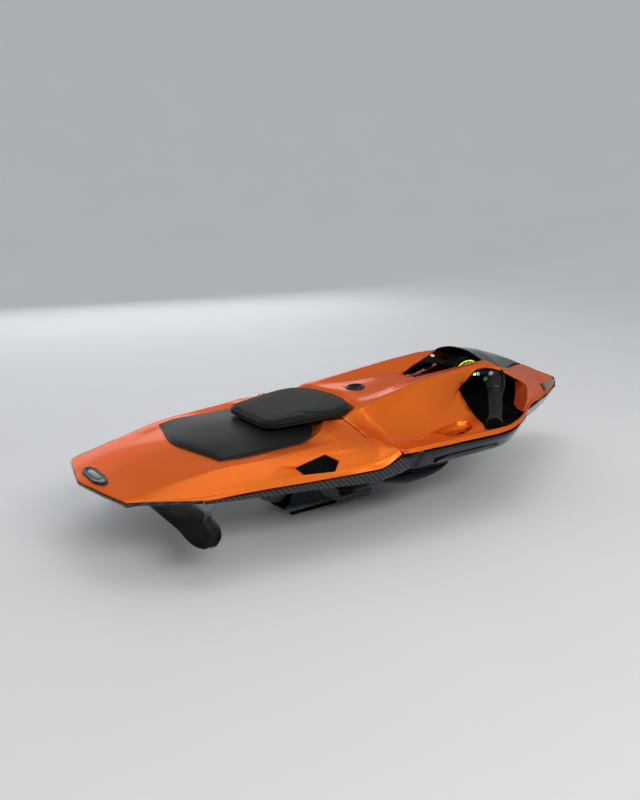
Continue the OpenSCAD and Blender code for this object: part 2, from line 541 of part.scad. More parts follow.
strut_screws = [for (x = [-441, -463], y = [-143, -127]) [x, y]];
module wing_strut_right() {
  // Stations: x, height, chord
  stations = [[-438, -18.5, 20], [-452, -48, 17], [-466, -wing_drop + 4.3, 16]];
  color([0.2, 0.2, 0.21]) difference() {
    union() {
      box([-471, -149, -21], [38, 28, 4]);
      loft([for (s = stations) [for (p = foil(s[2], 5))
        [s[0] + p[0], -135 + p[1], rim_h + s[1]]]]);
    }
    for (p = strut_screws) at_rim(p[0], p[1], -30) cylinder(r = 2.1, h = 20, $fn = 32);
  }
}
module wing_strut_left() { port_side() wing_strut_right(); }
module wing_screws() {
  color(steel) for (side = [-1, 1], p = strut_screws) {
    at_rim(p[0], side * p[1], -23.6) cylinder(r = 3.5, h = 2.5, $fn = 32);
    at_rim(p[0], side * p[1], -21.3) cylinder(r = 2, h = 4.2, $fn = 32);
  }
}
module keel_fin_right() {
  color(trim_black) at_rim(0, -118) rotate([90, 0, 0]) linear_extrude(height = 5)
    polygon([[-214, -62], [-208, -87], [-157, -121], [-80, -121], [-73, -106], [-160, -106],
      [-160, -62]]);
}
module keel_fin_left() { port_side() keel_fin_right(); }
module keel_runners() {
  width = 12;
  color(soft_black) for (side = [-1, 1])
    at_rim(0, side * 55 + width / 2) rotate([90, 0, 0]) linear_extrude(height = width)
      polygon([[-238, -151], [-95, -151], [-68, -147], [-68, -144], [-150, -148], [-238, -148]]);
}

// Solid of the rear part of the lower hull, cut from the skids
module hull_fill() {
  loft([for (i = [0:6]) [for (p = full_row(hull_row(hull_xs[i])))
    [p[0], p[1] * 1.006, p[2] + rim_h - 1.4]]]);
}
module side_skid_right() {
  // Stations: x, half width, half height; the upper half is flattened
  stations = [[-148, 7, 3.5], [-128, 14, 7], [-70, 22, 11], [-10, 21, 11], [40, 12, 6],
    [62, 1, 1]];
  mid_y_tab = [[-158, -212], [-70, -212], [62, -214]];
  mid_z_tab = [[-158, -40], [-70, -55], [0, -52], [62, -43]];
  color([0.13, 0.13, 0.135]) difference() {
    loft([for (s = stations) let (y = lookup(s[0], mid_y_tab), z = lookup(s[0], mid_z_tab))
      [for (a = [0:30:330]) [s[0], y + s[1] * cos(a),
        rim_h + z + s[2] * (sin(a) > 0 ? 0.35 : 1) * sin(a)]]]);
    translate([0.02, 0, 0]) hull_fill();
  }
}
module side_skid_left() { port_side() side_skid_right(); }

// ---------- jet drive
// Fairing under the duct, half sections from rear to front, keel to upper edge
jet_fairing_net = [
  [[-246,0,-146],[-246,42,-143],[-246,66,-124],[-246,76,-94],[-246,80,-60],[-246,82,-31]],
  [[-205,0,-147],[-205,44,-144],[-205,73,-125],[-205,86,-94],[-205,90,-60],[-205,92,-33]],
  [[-158.6,0,-147.5],[-158.6,45,-144.5],[-158.6,78,-126],[-158.6,92,-95],[-158.6,97,-64],
   [-158.6,98,-36]]];
seal_r = 13;
bearing_r = 15.8;
bearing_pocket_r = 16;
motor_r = 38;
shaft_fit = 0.05;

module jet_fairing() { color(hull_black) panel(lift(full(jet_fairing_net)), 3, 0); }
// Duct with a closed front end, a seal hole and the intake cut from below
module jet_duct() {
  color([0.3, 0.3, 0.32]) difference() {
    along_x(-238) cylinder(r = duct_outer, h = 173, $fn = 96);
    along_x(-240) cylinder(r = duct_r, h = 171, $fn = 96);
    along_x(-72) cylinder(r = seal_r + shaft_fit, h = 10, $fn = 64);
    box([-142, -44, -160], [72, 88, 52]);
    box([-142.5, -60, -160], [80, 120, 27]);
  }
}
module intake_grille() {
  bar_w = 4;
  color([0.12, 0.12, 0.12]) {
    for (y = [-36:18:36]) box([-137, y - bar_w / 2, -142], [64, bar_w, 5]);
    for (x = [-138, -76]) box([x, -43, -142], [bar_w, 86, 5]);
  }
}
// Flat outline of n blades from the root radius to tip_gap inside the duct
module blades(n, root, tip_gap, thick) {
  for (k = [0:n - 1]) rotate([0, 0, k * 360 / n])
    translate([root, -thick / 2]) square([duct_r - tip_gap - root, thick]);
}
module impeller() {
  color([0.7, 0.6, 0.35]) difference() {
    union() {
      along_x(-212) cylinder(r = 17, h = 34, $fn = 64);
      along_x(-209) linear_extrude(height = 28, twist = 42, slices = 6, convexity = 6)
        blades(blade_n, root = 12, tip_gap = 1.2, thick = 3.2);
    }
    along_x(-220) cylinder(r = shaft_r, h = 60, $fn = 64);
  }
}
module stator() {
  back_x = -237.5;
  color([0.5, 0.5, 0.52]) {
    difference() {
      along_x(back_x) cylinder(r = duct_r - 0.2, h = 18, $fn = 96);
      along_x(-239) cylinder(r = duct_r - 3, h = 21, $fn = 96);
    }
    difference() {
      union() {
        along_x(back_x) cylinder(r = 16, h = 20, $fn = 64);
        along_x(back_x) linear_extrude(height = 18)
          blades(vane_n, root = 14, tip_gap = 1, thick = 2.4);
      }
      along_x(-226) cylinder(r = shaft_r + shaft_fit, h = 12, $fn = 64);
    }
  }
}
module nozzle() {
  color([0.35, 0.36, 0.4]) along_x(-278) rotate_extrude($fn = 96)
    polygon([[33, 0], [37, 0], [40, 6], [duct_outer, 34], [duct_outer, 39.6], [duct_r, 39.6],
      [duct_r, 35], [35, 8]]);
}
module drive_shaft() {
  color([0.75, 0.75, 0.77]) along_x(-225) cylinder(r = shaft_r, h = 254, $fn = 64);
}
module ring_x(x, length, inner, outer) {
  along_x(x) difference() {
    cylinder(r = outer, h = length, $fn = 72);
    translate([0, 0, -1]) cylinder(r = inner, h = length + 2, $fn = 64);
  }
}
module shaft_seal() { color([0.05, 0.05, 0.05]) ring_x(-67, 8, shaft_r + shaft_fit, seal_r); }
module shaft_bearings() {
  color([0.65, 0.65, 0.67])
    for (x = [-53.8, 21.6]) ring_x(x, 8, shaft_r + shaft_fit, bearing_r);
}
module motor_housing() {
  color([0.2, 0.22, 0.25]) difference() {
    along_x(-56) cylinder(r = motor_r, h = 90, $fn = 96);
    along_x(-44) cylinder(r = 27, h = 62, $fn = 96);
    along_x(-54) cylinder(r = bearing_pocket_r, h = 12, $fn = 72);
    along_x(-58) cylinder(r = 10, h = 10, $fn = 64);
    along_x(16) cylinder(r = bearing_pocket_r, h = 14, $fn = 72);
  }
}
module motor_rotor() { color([0.55, 0.3, 0.15]) ring_x(-40, 54, shaft_r, 25.5); }
module motor_mount() {
  color([0.5, 0.5, 0.52]) difference() {
    union() {
      box([-30, -62, -92], [12, 124, 47]);
      box([-36, -62, -47], [24, 124, 4]);
    }
    along_x(-40) cylinder(r = motor_r + 0.2, h = 40, $fn = 96);
  }
}

// ---------- power
pack_x = 15;
pack_z = -32;
pack_size = [166, 172];
tray_size = pack_size + [12, 12];
tray_t = 3;
module battery_tray() {
  color([0.4, 0.4, 0.42])
    box([pack_x - tray_size[0] / 2, -tray_size[1] / 2, pack_z - 0.4 - tray_t],
      [tray_size[0], tray_size[1], tray_t]);
}
module battery_pack() {
  color([0.12, 0.2, 0.3]) at_rim(pack_x, 0, pack_z)
    linear_extrude(height = 90) square(pack_size, center = true);
}
// Box with cooling ribs on top
module control_unit() {
  rib_w = 4;
  color([0.25, 0.25, 0.28]) union() {
    box([112, -58, -66], [120, 116, 40]);
    for (y = [-50:12.5:50]) box([114, y - rib_w / 2, -26.1], [116, rib_w, 6]);
  }
}

top_shell();
rear_cover();
bottom_hull();
hull_gasket();
tail_tray();
side_fairing_right();
side_fairing_left();
side_trim_right();
side_trim_left();
transom_plate();
transom_screws();
nose_cap();
nose_lens_right();
nose_lens_left();
deck_mat();
pad_support();
chest_pad();
badge_plate();
vent_mesh_right();
vent_mesh_left();
port_ring();
port_seal();
port_cap();
visor();
cockpit_tub();
console();
gauge_bezel();
gauge_screen();
grip_right();
grip_left();
speed_button_right();
boost_button_right();
speed_button_left();
boost_button_left();
rear_wing();
wing_strut_right();
wing_strut_left();
wing_screws();
keel_fin_right();
keel_fin_left();
keel_runners();
side_skid_right();
side_skid_left();
jet_fairing();
jet_duct();
intake_grille();
impeller();
stator();
nozzle();
drive_shaft();
shaft_seal();
shaft_bearings();
motor_housing();
motor_rotor();
motor_mount();
battery_pack();
battery_tray();
control_unit();
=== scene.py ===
# Electric water sled: a pearl orange shell over a black hull, with a chest pad, two hand grips,
# a gauge under a smoked visor, a rear wing and a jet drive.
# The bow points along +X, +Y is the left side and +Z is up. Lengths are millimetres unless
# noted; heights in the tables are over the rim plane, where shell and lower hull meet.
import json
import math
import bmesh
import bpy
import numpy as np
from mathutils import Matrix, Vector
from numpy import array
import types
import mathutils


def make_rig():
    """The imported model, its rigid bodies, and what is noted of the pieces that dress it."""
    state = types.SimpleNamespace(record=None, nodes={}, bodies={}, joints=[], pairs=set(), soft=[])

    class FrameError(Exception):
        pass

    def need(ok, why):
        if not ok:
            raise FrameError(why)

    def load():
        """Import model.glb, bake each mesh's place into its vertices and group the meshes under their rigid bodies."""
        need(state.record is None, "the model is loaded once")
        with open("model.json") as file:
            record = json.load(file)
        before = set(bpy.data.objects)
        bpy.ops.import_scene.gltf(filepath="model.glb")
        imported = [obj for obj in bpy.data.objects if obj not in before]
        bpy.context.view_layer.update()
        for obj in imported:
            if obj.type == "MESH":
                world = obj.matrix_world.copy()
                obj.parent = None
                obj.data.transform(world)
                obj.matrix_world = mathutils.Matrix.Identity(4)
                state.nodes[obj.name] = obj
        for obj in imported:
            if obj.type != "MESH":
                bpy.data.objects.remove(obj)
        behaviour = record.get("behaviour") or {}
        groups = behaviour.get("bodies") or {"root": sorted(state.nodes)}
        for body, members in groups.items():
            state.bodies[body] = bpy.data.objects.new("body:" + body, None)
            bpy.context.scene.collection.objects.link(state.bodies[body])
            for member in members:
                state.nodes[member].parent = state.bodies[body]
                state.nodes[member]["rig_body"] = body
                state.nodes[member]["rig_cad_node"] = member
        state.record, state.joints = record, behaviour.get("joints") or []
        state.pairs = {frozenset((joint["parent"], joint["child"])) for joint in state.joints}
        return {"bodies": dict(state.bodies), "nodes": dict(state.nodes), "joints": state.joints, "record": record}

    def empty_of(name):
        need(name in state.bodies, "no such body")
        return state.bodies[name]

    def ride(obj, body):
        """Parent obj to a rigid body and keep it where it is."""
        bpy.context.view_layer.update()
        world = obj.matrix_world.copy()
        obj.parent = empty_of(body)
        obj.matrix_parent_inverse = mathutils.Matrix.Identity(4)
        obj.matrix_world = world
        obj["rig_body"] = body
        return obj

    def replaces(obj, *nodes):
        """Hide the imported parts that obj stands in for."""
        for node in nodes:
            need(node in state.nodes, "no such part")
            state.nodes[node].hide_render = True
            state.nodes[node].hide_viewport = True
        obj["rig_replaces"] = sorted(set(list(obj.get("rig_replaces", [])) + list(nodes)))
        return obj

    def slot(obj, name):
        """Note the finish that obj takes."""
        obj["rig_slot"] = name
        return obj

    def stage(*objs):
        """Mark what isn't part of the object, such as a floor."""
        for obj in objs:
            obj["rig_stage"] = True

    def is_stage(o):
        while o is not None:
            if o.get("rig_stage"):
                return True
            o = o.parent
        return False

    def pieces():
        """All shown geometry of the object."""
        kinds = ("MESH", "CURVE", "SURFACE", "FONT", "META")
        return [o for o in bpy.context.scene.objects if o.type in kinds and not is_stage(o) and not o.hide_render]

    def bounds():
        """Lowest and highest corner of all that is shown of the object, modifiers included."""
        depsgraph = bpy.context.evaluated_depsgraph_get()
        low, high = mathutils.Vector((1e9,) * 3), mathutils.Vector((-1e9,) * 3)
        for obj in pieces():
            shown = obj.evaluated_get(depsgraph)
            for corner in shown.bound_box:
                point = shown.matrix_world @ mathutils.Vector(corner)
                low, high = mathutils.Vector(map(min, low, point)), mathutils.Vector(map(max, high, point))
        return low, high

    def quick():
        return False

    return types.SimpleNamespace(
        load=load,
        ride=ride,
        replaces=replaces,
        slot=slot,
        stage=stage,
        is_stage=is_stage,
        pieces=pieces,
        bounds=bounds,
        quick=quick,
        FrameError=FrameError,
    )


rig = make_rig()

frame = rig.load()
SCENE = bpy.context.scene
CAD_NAMES = {o.name for o in bpy.data.objects}
NODES = frame["nodes"]
CAD_LO, CAD_HI = (list(corner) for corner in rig.bounds())
MM = 0.001
RIM = 151.0     # height of the rim plane
STEPS = 6       # net points per panel edge, top shell and rear cover
SIDES = ((-1, "right"), (1, "left"))    # sign of y, name


# ------------------------------------------------------------------ materials, metres
class Shader:
    """One material: a Principled surface with textures laid in object space."""

    def __init__(self, name, scale=(1, 1, 1), turn=(0, 0, 0)):
        self.material = bpy.data.materials.new(name)
        self.material.use_nodes = True
        self.tree = self.material.node_tree
        self.tree.nodes.clear()
        output = self.node("OutputMaterial")
        self.principled = self.node("BsdfPrincipled")
        self.feed(output.inputs[0], self.principled.outputs[0])
        place = self.node("TexCoord").outputs["Object"]
        mapping = self.node("Mapping", {"Scale": scale, "Rotation": turn, 0: place})
        self.place = mapping.outputs[0]

    def feed(self, socket, value):
        """Link a socket to another, or set its value."""
        if isinstance(value, bpy.types.NodeSocket):
            self.tree.links.new(value, socket)
        else:
            socket.default_value = (*value, 1) if socket.type == "RGBA" else value

    def node(self, kind, inputs=None, **props):
        made = self.tree.nodes.new("ShaderNode" + kind)
        for key, value in props.items():
            setattr(made, key, value)
        for key, value in (inputs or {}).items():
            self.feed(made.inputs[key], value)
        return made

    def noise(self, scale, detail=3.0, rough=0.5):
        inputs = {"Scale": scale, "Detail": detail, "Roughness": rough, "Vector": self.place}
        return self.node("TexNoise", inputs).outputs["Fac"]

    def voronoi(self, scale, feature="F1", output="Distance"):
        inputs = {"Scale": scale, "Vector": self.place}
        return self.node("TexVoronoi", inputs, feature=feature).outputs[output]

    def math(self, operation, *values):
        return self.node("Math", dict(enumerate(values)), operation=operation).outputs[0]

    def remap(self, value, source, target):
        """Map the source range onto the target range, clamped."""
        return self.node("MapRange", dict(enumerate((value, *source, *target)))).outputs[0]

    def ramp(self, factor, stops):
        made = self.node("ValToRGB", {0: factor})
        elements = made.color_ramp.elements
        while len(elements) > 1:
            elements.remove(elements[-1])
        elements[0].position = stops[0][0]
        elements[0].color = (*stops[0][1], 1)
        for position, colour in stops[1:]:
            elements.new(position).color = (*colour, 1)
        return made.outputs[0]

    def bump(self, height, strength, distance):
        inputs = {"Strength": strength, "Distance": distance, "Height": height}
        return self.node("Bump", inputs).outputs[0]

    def mix(self, factor, first, second):
        return self.node("Mix", {0: factor, 6: first, 7: second}, data_type="RGBA").outputs[2]

    def surface(self, **inputs):
        """Feed the Principled inputs, underscores standing for spaces."""
        for key, value in inputs.items():
            self.feed(self.principled.inputs[key.replace("_", " ")], value)
        return self.material


def grey(value):
    return (value, value, value)


def pearl(name, core, mid, edge, rough=0.37, metal=0.55, flakes=0.22):
    """Pearl lacquer: colour falls off with angle, fine flakes, a coat with light orange peel."""
    sh = Shader(name)
    facing = sh.node("LayerWeight", {0: 0.32}).outputs["Facing"]
    colour = sh.ramp(facing, [(0.0, core), (0.45, mid), (1.0, edge)])
    flake = sh.node("SeparateColor", {0: sh.voronoi(1900.0, output="Color")}).outputs[0]
    sparkle = sh.remap(flake, (0.72, 1.0), (0.0, flakes))
    colour = sh.mix(sparkle, colour, (1.0, 0.55, 0.25))
    clouds = sh.remap(sh.noise(7.0, detail=2.0), (0.35, 0.7), (0.0, 0.10))
    colour = sh.mix(clouds, colour, core)
    sh.surface(Base_Color=colour, Metallic=metal, Roughness=rough, IOR=1.14,
               Coat_Weight=0.26, Coat_Roughness=0.06, Coat_IOR=1.30,
               Specular_Tint=(1.0, 0.42, 0.16))
    # fine noise varies the roughness round its mean
    spread = (rough - 0.03, rough + 0.04)
    return sh.surface(
        Roughness=sh.remap(sh.noise(60.0, detail=4.0), (0.3, 0.7), spread),
        Coat_Normal=sh.bump(sh.noise(230.0, detail=2.0), strength=0.03, distance=0.0006))


def gloss(name, low, high, rough, coat=0.7, peel=0.03):
    """Polished plastic or lacquer; peel is the strength of its ripple."""
    sh = Shader(name)
    spread = (max(0.02, rough - 0.03), rough + 0.05)
    return sh.surface(
        Base_Color=sh.ramp(sh.noise(9.0), [(0.3, low), (0.75, high)]),
        Coat_Weight=coat, Coat_Roughness=0.03, Coat_IOR=1.30, IOR=1.2,
        Roughness=sh.remap(sh.noise(90.0, detail=5.0), (0.3, 0.7), spread),
        Normal=sh.bump(sh.noise(240.0, detail=2.0), strength=peel, distance=0.0006))


def grain(name, low, high, rough, cell, bump, depth=0.0003, coat=0.0, leather=False, sheen=0.0):
    """Moulded or leather-like surface; cell is the grain size."""
    sh = Shader(name)
    if leather:
        coarse = sh.voronoi(1 / cell, "DISTANCE_TO_EDGE")
        fine = sh.voronoi(2.3 / cell, "DISTANCE_TO_EDGE")
        coarse = sh.math("MINIMUM", coarse, 0.25)
        fine = sh.math("MULTIPLY", sh.math("MINIMUM", fine, 0.2), 0.45)
    else:
        coarse = sh.noise(1 / cell, detail=5.0, rough=0.6)
        fine = sh.math("MULTIPLY", sh.voronoi(1.7 / cell), 0.5)
    height = sh.math("ADD", coarse, fine)
    return sh.surface(
        Base_Color=sh.ramp(sh.noise(11.0, detail=4.0), [(0.3, low), (0.72, high)]),
        Roughness=sh.remap(height, (0.1, 0.9), (rough + 0.06, rough - 0.06)),
        Coat_Weight=coat, Coat_Roughness=0.25, Sheen_Weight=sheen, IOR=1.12,
        Normal=sh.bump(height, strength=bump, distance=depth))


def carbon(name, turn=(0, 0, 0), pitch=0.0105, light=0.055):
    """Clear-coated twill: diagonal ribs of dark and light tows with fine fibre lines."""
    sh = Shader(name, turn=turn)
    axes = sh.node("SeparateXYZ", {0: sh.place}).outputs
    across = sh.math("MULTIPLY", axes[0], 1 / pitch)
    upward = sh.math("MULTIPLY", axes[2], 1 / pitch)
    # the offset keeps the diagonal positive
    diagonal = sh.math("FRACT", sh.math("ADD", sh.math("ADD", across, upward), 400.0))
    wave = sh.math("SUBTRACT", sh.math("MULTIPLY", diagonal, 2.0), 1.0)
    tow = sh.remap(sh.math("ABSOLUTE", wave), (0.36, 0.60), (0.0, 1.0))
    fibre = sh.math("SINE", sh.math("MULTIPLY", axes[0], 2 * math.pi / (pitch * 0.25)))
    fibre = sh.remap(fibre, (-1.0, 1.0), (0.82, 1.0))
    bright = (light * 0.97, light, light * 1.04)
    return sh.surface(
        Base_Color=sh.ramp(sh.math("MULTIPLY", tow, fibre), [(0.0, grey(0.006)), (1.0, bright)]),
        Metallic=0.25, Coat_Weight=0.6, Coat_Roughness=0.04, Coat_IOR=1.35, IOR=1.3,
        Roughness=sh.remap(tow, (0.0, 1.0), (0.38, 0.22)),
        Normal=sh.bump(sh.math("ADD", tow, sh.math("MULTIPLY", fibre, 0.3)),
                       strength=0.25, distance=0.0003))


def brushed(name, low, high, rough, stretch=(1, 40, 40)):
    """Metal with noise stretched along one axis."""
    sh = Shader(name, scale=stretch)
    scratches = sh.noise(25.0, detail=6.0, rough=0.7)
    return sh.surface(
        Base_Color=sh.ramp(scratches, [(0.3, low), (0.7, high)]), Metallic=1.0,
        Roughness=sh.remap(scratches, (0.3, 0.7), (rough - 0.06, rough + 0.1)),
        Normal=sh.bump(scratches, strength=0.08, distance=0.0003))


def lit(name, colour, strength):
    """Glowing mark."""
    sh = Shader(name)
    dim = tuple(c * 0.85 for c in colour)
    glow = sh.ramp(sh.noise(300.0, detail=2.0), [(0.2, dim), (0.8, colour)])
    return sh.surface(Emission_Color=glow, Emission_Strength=strength,
                      Base_Color=grey(0.02), Roughness=0.25, Coat_Weight=1.0)


ORANGE = pearl("pearl_orange", (0.95, 0.195, 0.016), (0.84, 0.135, 0.009), (0.52, 0.055, 0.005))
# darker copy of the orange lacquer for the hand-opening flanges: painted shade, as these turned-in faces sit in shade
ORANGE_PAINTED_SHADE = pearl("pearl_orange_painted_shade", (0.34, 0.036, 0.004), (0.28, 0.026, 0.003),
                  (0.16, 0.014, 0.002), rough=0.5, metal=0.3, flakes=0.04)
HULL_BLACK = gloss("gloss_hull", (0.006, 0.009, 0.013), (0.012, 0.017, 0.024), rough=0.14)
CARBON_SIDE = carbon("carbon_side")
CARBON_TRAY = carbon("carbon_tray", turn=(math.radians(90), 0, 0))
CARBON_WING = carbon("carbon_wing", turn=(math.radians(90), 0, math.radians(20)),
                     pitch=0.008, light=0.028)
MAT_FOAM = grain("deck_mat_foam", grey(0.010), grey(0.016), rough=0.46, cell=0.0016,
                 bump=0.30, coat=0.06)
PAD_SKIN = grain("pad_skin", grey(0.012), grey(0.019), rough=0.50, cell=0.0024,
                 bump=0.35, leather=True, sheen=0.06)
PIPING = grain("pad_piping", grey(0.020), grey(0.030), rough=0.40, cell=0.0010,
               bump=0.3, depth=0.0002, coat=0.1)
LINER = grain("liner_plastic", grey(0.006), grey(0.011), rough=0.52, cell=0.0012,
              bump=0.25, depth=0.0002)
CONSOLE = grain("console_plastic", grey(0.020), grey(0.030), rough=0.38, cell=0.0010,
                bump=0.2, depth=0.0002, coat=0.125)
GRIP_RUBBER = grain("grip_rubber", grey(0.016), grey(0.024), rough=0.45, cell=0.0013,
                    bump=0.45, coat=0.05)
SKID_PLASTIC = grain("skid_plastic", grey(0.022), grey(0.034), rough=0.34, cell=0.0011,
                     bump=0.25, depth=0.0002, coat=0.15)
SEAL = grain("seal_rubber", grey(0.004), grey(0.007), rough=0.60, cell=0.0010,
             bump=0.2, depth=0.0002)
SMOKE = gloss("visor_smoke", (0.006, 0.007, 0.008), (0.012, 0.013, 0.015), rough=0.05, peel=0.01)
LENS = gloss("lens_dark", (0.008, 0.006, 0.006), (0.016, 0.011, 0.010), rough=0.07, peel=0.01)
DARK_METAL = brushed("anodised_dark", grey(0.035), grey(0.060), rough=0.32)
GREY_METAL = brushed("anodised_grey", grey(0.22), grey(0.30), rough=0.32)
LIGHT_METAL = brushed("light_trim", grey(0.42), grey(0.52), rough=0.30)
STEEL = brushed("steel_brushed", grey(0.50), grey(0.62), rough=0.26)
BRONZE = brushed("bronze_cast", (0.42, 0.27, 0.12), (0.58, 0.40, 0.19), rough=0.34,
                 stretch=(6, 6, 6))
COPPER = brushed("rotor_core", (0.24, 0.13, 0.08), (0.34, 0.19, 0.11), rough=0.45,
                 stretch=(60, 3, 3))
BATTERY = grain("battery_case", (0.012, 0.020, 0.032), (0.020, 0.030, 0.046), rough=0.5,
                cell=0.0016, bump=0.3, depth=0.0004)
BUTTON_GREEN = gloss("button_green", (0.02, 0.30, 0.10), (0.03, 0.42, 0.15), rough=0.2, coat=0.56)
BUTTON_GREY = gloss("button_grey", grey(0.42), grey(0.52), rough=0.25, coat=0.42)
DIAL_RING = lit("dial_ring", (0.62, 0.80, 0.06), strength=2.2)
DIAL_TICK = lit("dial_tick", (0.75, 0.85, 0.30), strength=1.1)
DIAL_FACE = gloss("dial_face", (0.004, 0.006, 0.003), (0.010, 0.014, 0.006), rough=0.08)
ICON_WHITE = lit("icon_white", (0.85, 0.88, 0.90), strength=1.6)
ICON_GREEN = lit("icon_green", (0.20, 0.85, 0.30), strength=1.8)


# ------------------------------------------------------------------ points and curves
def unit(v):
    return v / np.maximum(np.linalg.norm(v, axis=-1, keepdims=True), 1e-9)


def lookup(x, table):
    """Linear interpolation in a table of (x, value)."""
    points = array(table, float)
    return float(np.interp(x, points[:, 0], points[:, 1]))


def lift(points):
    """Heights over the rim plane to heights over the floor."""
    return array(points, float) + [0, 0, RIM]


def to_side(points, sign):
    """Keep the points for 1, mirror them across the middle plane for -1."""
    return array(points, float) * [1, sign, 1]


def full(net):
    """Half net, from the middle plane outwards, to a whole net from right to left."""
    net = array(net, float)
    return np.concatenate([net[:, :0:-1] * [1, -1, 1], net], 1)


def rot_y(points, degrees):
    x, y, z = np.moveaxis(array(points, float), -1, 0)
    c, s = math.cos(math.radians(degrees)), math.sin(math.radians(degrees))
    return np.stack([x * c + z * s, y, -x * s + z * c], -1)


def rot_z(points, degrees):
    x, y, z = np.moveaxis(array(points, float), -1, 0)
    c, s = math.cos(math.radians(degrees)), math.sin(math.radians(degrees))
    return np.stack([x * c - y * s, x * s + y * c, z], -1)


def turns(n):
    return np.linspace(0, 2 * math.pi, n, endpoint=False)


def circle(radius, z, n, centre=(0, 0)):
    return [[centre[0] + radius * math.cos(a), centre[1] + radius * math.sin(a), z]
            for a in turns(n)]


def curve(points, n, sharp=()):
    """Smooth curve through points along axis 0, n steps per span, creased at sharp."""
    p = np.asarray(points, float)
    last = len(p) - 1
    d = np.diff(p, axis=0)
    span = np.maximum(np.linalg.norm(d, axis=-1, keepdims=True), 1e-9)
    way = d / span

    def tangent(i, side):
        if i == 0 or (side > 0 and i in sharp and i < last):
            return way[min(i, last - 1)]
        if i == last or (side < 0 and i in sharp):
            return way[i - 1]
        a, b = span[i - 1], span[i]
        return (way[i - 1] * b + way[i] * a) / (a + b)

    out = []
    for i in range(last):
        start, end = tangent(i, 1) * span[i], tangent(i + 1, -1) * span[i]
        for k in range(n):
            t = k / n
            out.append(p[i] * (2 * t**3 - 3 * t**2 + 1) + start * (t**3 - 2 * t**2 + t)
                       + p[i + 1] * (3 * t**2 - 2 * t**3) + end * (t**3 - t**2))
    out.append(p[last])
    return array(out)


def smoothed(net, n, sharp_cols=(), sharp_rows=()):
    across = curve(np.swapaxes(array(net, float), 0, 1), n, sharp_cols)
    return curve(np.swapaxes(across, 0, 1), n, sharp_rows)


def both_halves(sharp, cols):
    """Crease columns of a half net as columns of the whole net."""
    return tuple(cols - 1 - k for k in sharp) + tuple(cols - 1 + k for k in sharp)


def normals(net):
    rows, cols = np.arange(net.shape[0]), np.arange(net.shape[1])
    along = net[np.minimum(rows + 1, rows[-1])] - net[np.maximum(rows - 1, 0)]
    across = net[:, np.minimum(cols + 1, cols[-1])] - net[:, np.maximum(cols - 1, 0)]
    return unit(np.cross(along, across))


def pushed(net, distance):
    """Net moved along its normals by one distance, or by one per point."""
    distance = np.asarray(distance, float)
    return net + normals(net) * (distance[..., None] if distance.ndim == 2 else distance)


def limited(move, cap):
    """Moves softly limited to a length."""
    size = np.linalg.norm(move, axis=-1, keepdims=True)
    return move * np.where(size > 1e-9, np.tanh(size / cap) * cap / np.maximum(size, 1e-9), 0)


# ------------------------------------------------------------------ mesh helpers
def add(name, verts, faces, mat, body="hull", recalc=True, slot=None):
    """New object from millimetre points; without a material it is only a cutter."""
    me = bpy.data.meshes.new(name)
    me.from_pydata((np.asarray(verts, float) * MM).tolist(), [],
                   [list(map(int, f)) for f in faces])
    me.validate()
    bm = bmesh.new()
    bm.from_mesh(me)
    loose = [v for v in bm.verts if not v.link_faces]
    bmesh.ops.delete(bm, geom=loose, context="VERTS")
    if recalc:
        bmesh.ops.recalc_face_normals(bm, faces=bm.faces)
    bm.to_mesh(me)
    bm.free()
    o = bpy.data.objects.new(name, me)
    SCENE.collection.objects.link(o)
    if mat is not None:
        me.materials.append(mat)
        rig.ride(o, body)
        if slot:
            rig.slot(o, slot)
    return o


def bake(o):
    """Apply the modifiers."""
    bpy.context.view_layer.update()
    graph = bpy.context.evaluated_depsgraph_get()
    me = bpy.data.meshes.new_from_object(o.evaluated_get(graph), depsgraph=graph)
    o.modifiers.clear()
    old = o.data
    o.data = me
    if old.users == 0:
        bpy.data.meshes.remove(old)


def shade(o, sharp):
    """Smooth shading with edges over sharp degrees left hard."""
    me = o.data
    me.polygons.foreach_set("use_smooth", [True] * len(me.polygons))
    me.set_sharp_from_angle(angle=math.radians(sharp))
    return o


def bevel(o, width, segments=2, angle=28, sharp=34):
    """Round the edges over angle degrees, then shade."""
    m = o.modifiers.new("edge", "BEVEL")
    m.width = width * MM
    m.segments = segments
    m.limit_method = "ANGLE"
    m.angle_limit = math.radians(angle)
    m.use_clamp_overlap = True
    bake(o)
    return shade(o, sharp)


def discard(o):
    me = o.data
    bpy.data.objects.remove(o)
    bpy.data.meshes.remove(me)


def cut(o, rings):
    """Take the solid lofted through the rings out of an object."""
    cutter = loft("cutter", rings, None)
    m = o.modifiers.new("cut", "BOOLEAN")
    m.operation = "DIFFERENCE"
    m.object = cutter
    m.solver = "EXACT"
    bake(o)
    discard(cutter)


def join(parts):
    """Merge the parts into the first."""
    bm = bmesh.new()
    for part in parts:
        bm.from_mesh(part.data)
    bm.to_mesh(parts[0].data)
    bm.free()
    for part in parts[1:]:
        discard(part)
    return parts[0]


def joined(name, parts, slot):
    """Several parts as one named piece of the hull."""
    o = join(parts)
    o.name = name
    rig.ride(o, "hull")
    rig.slot(o, slot)
    return o


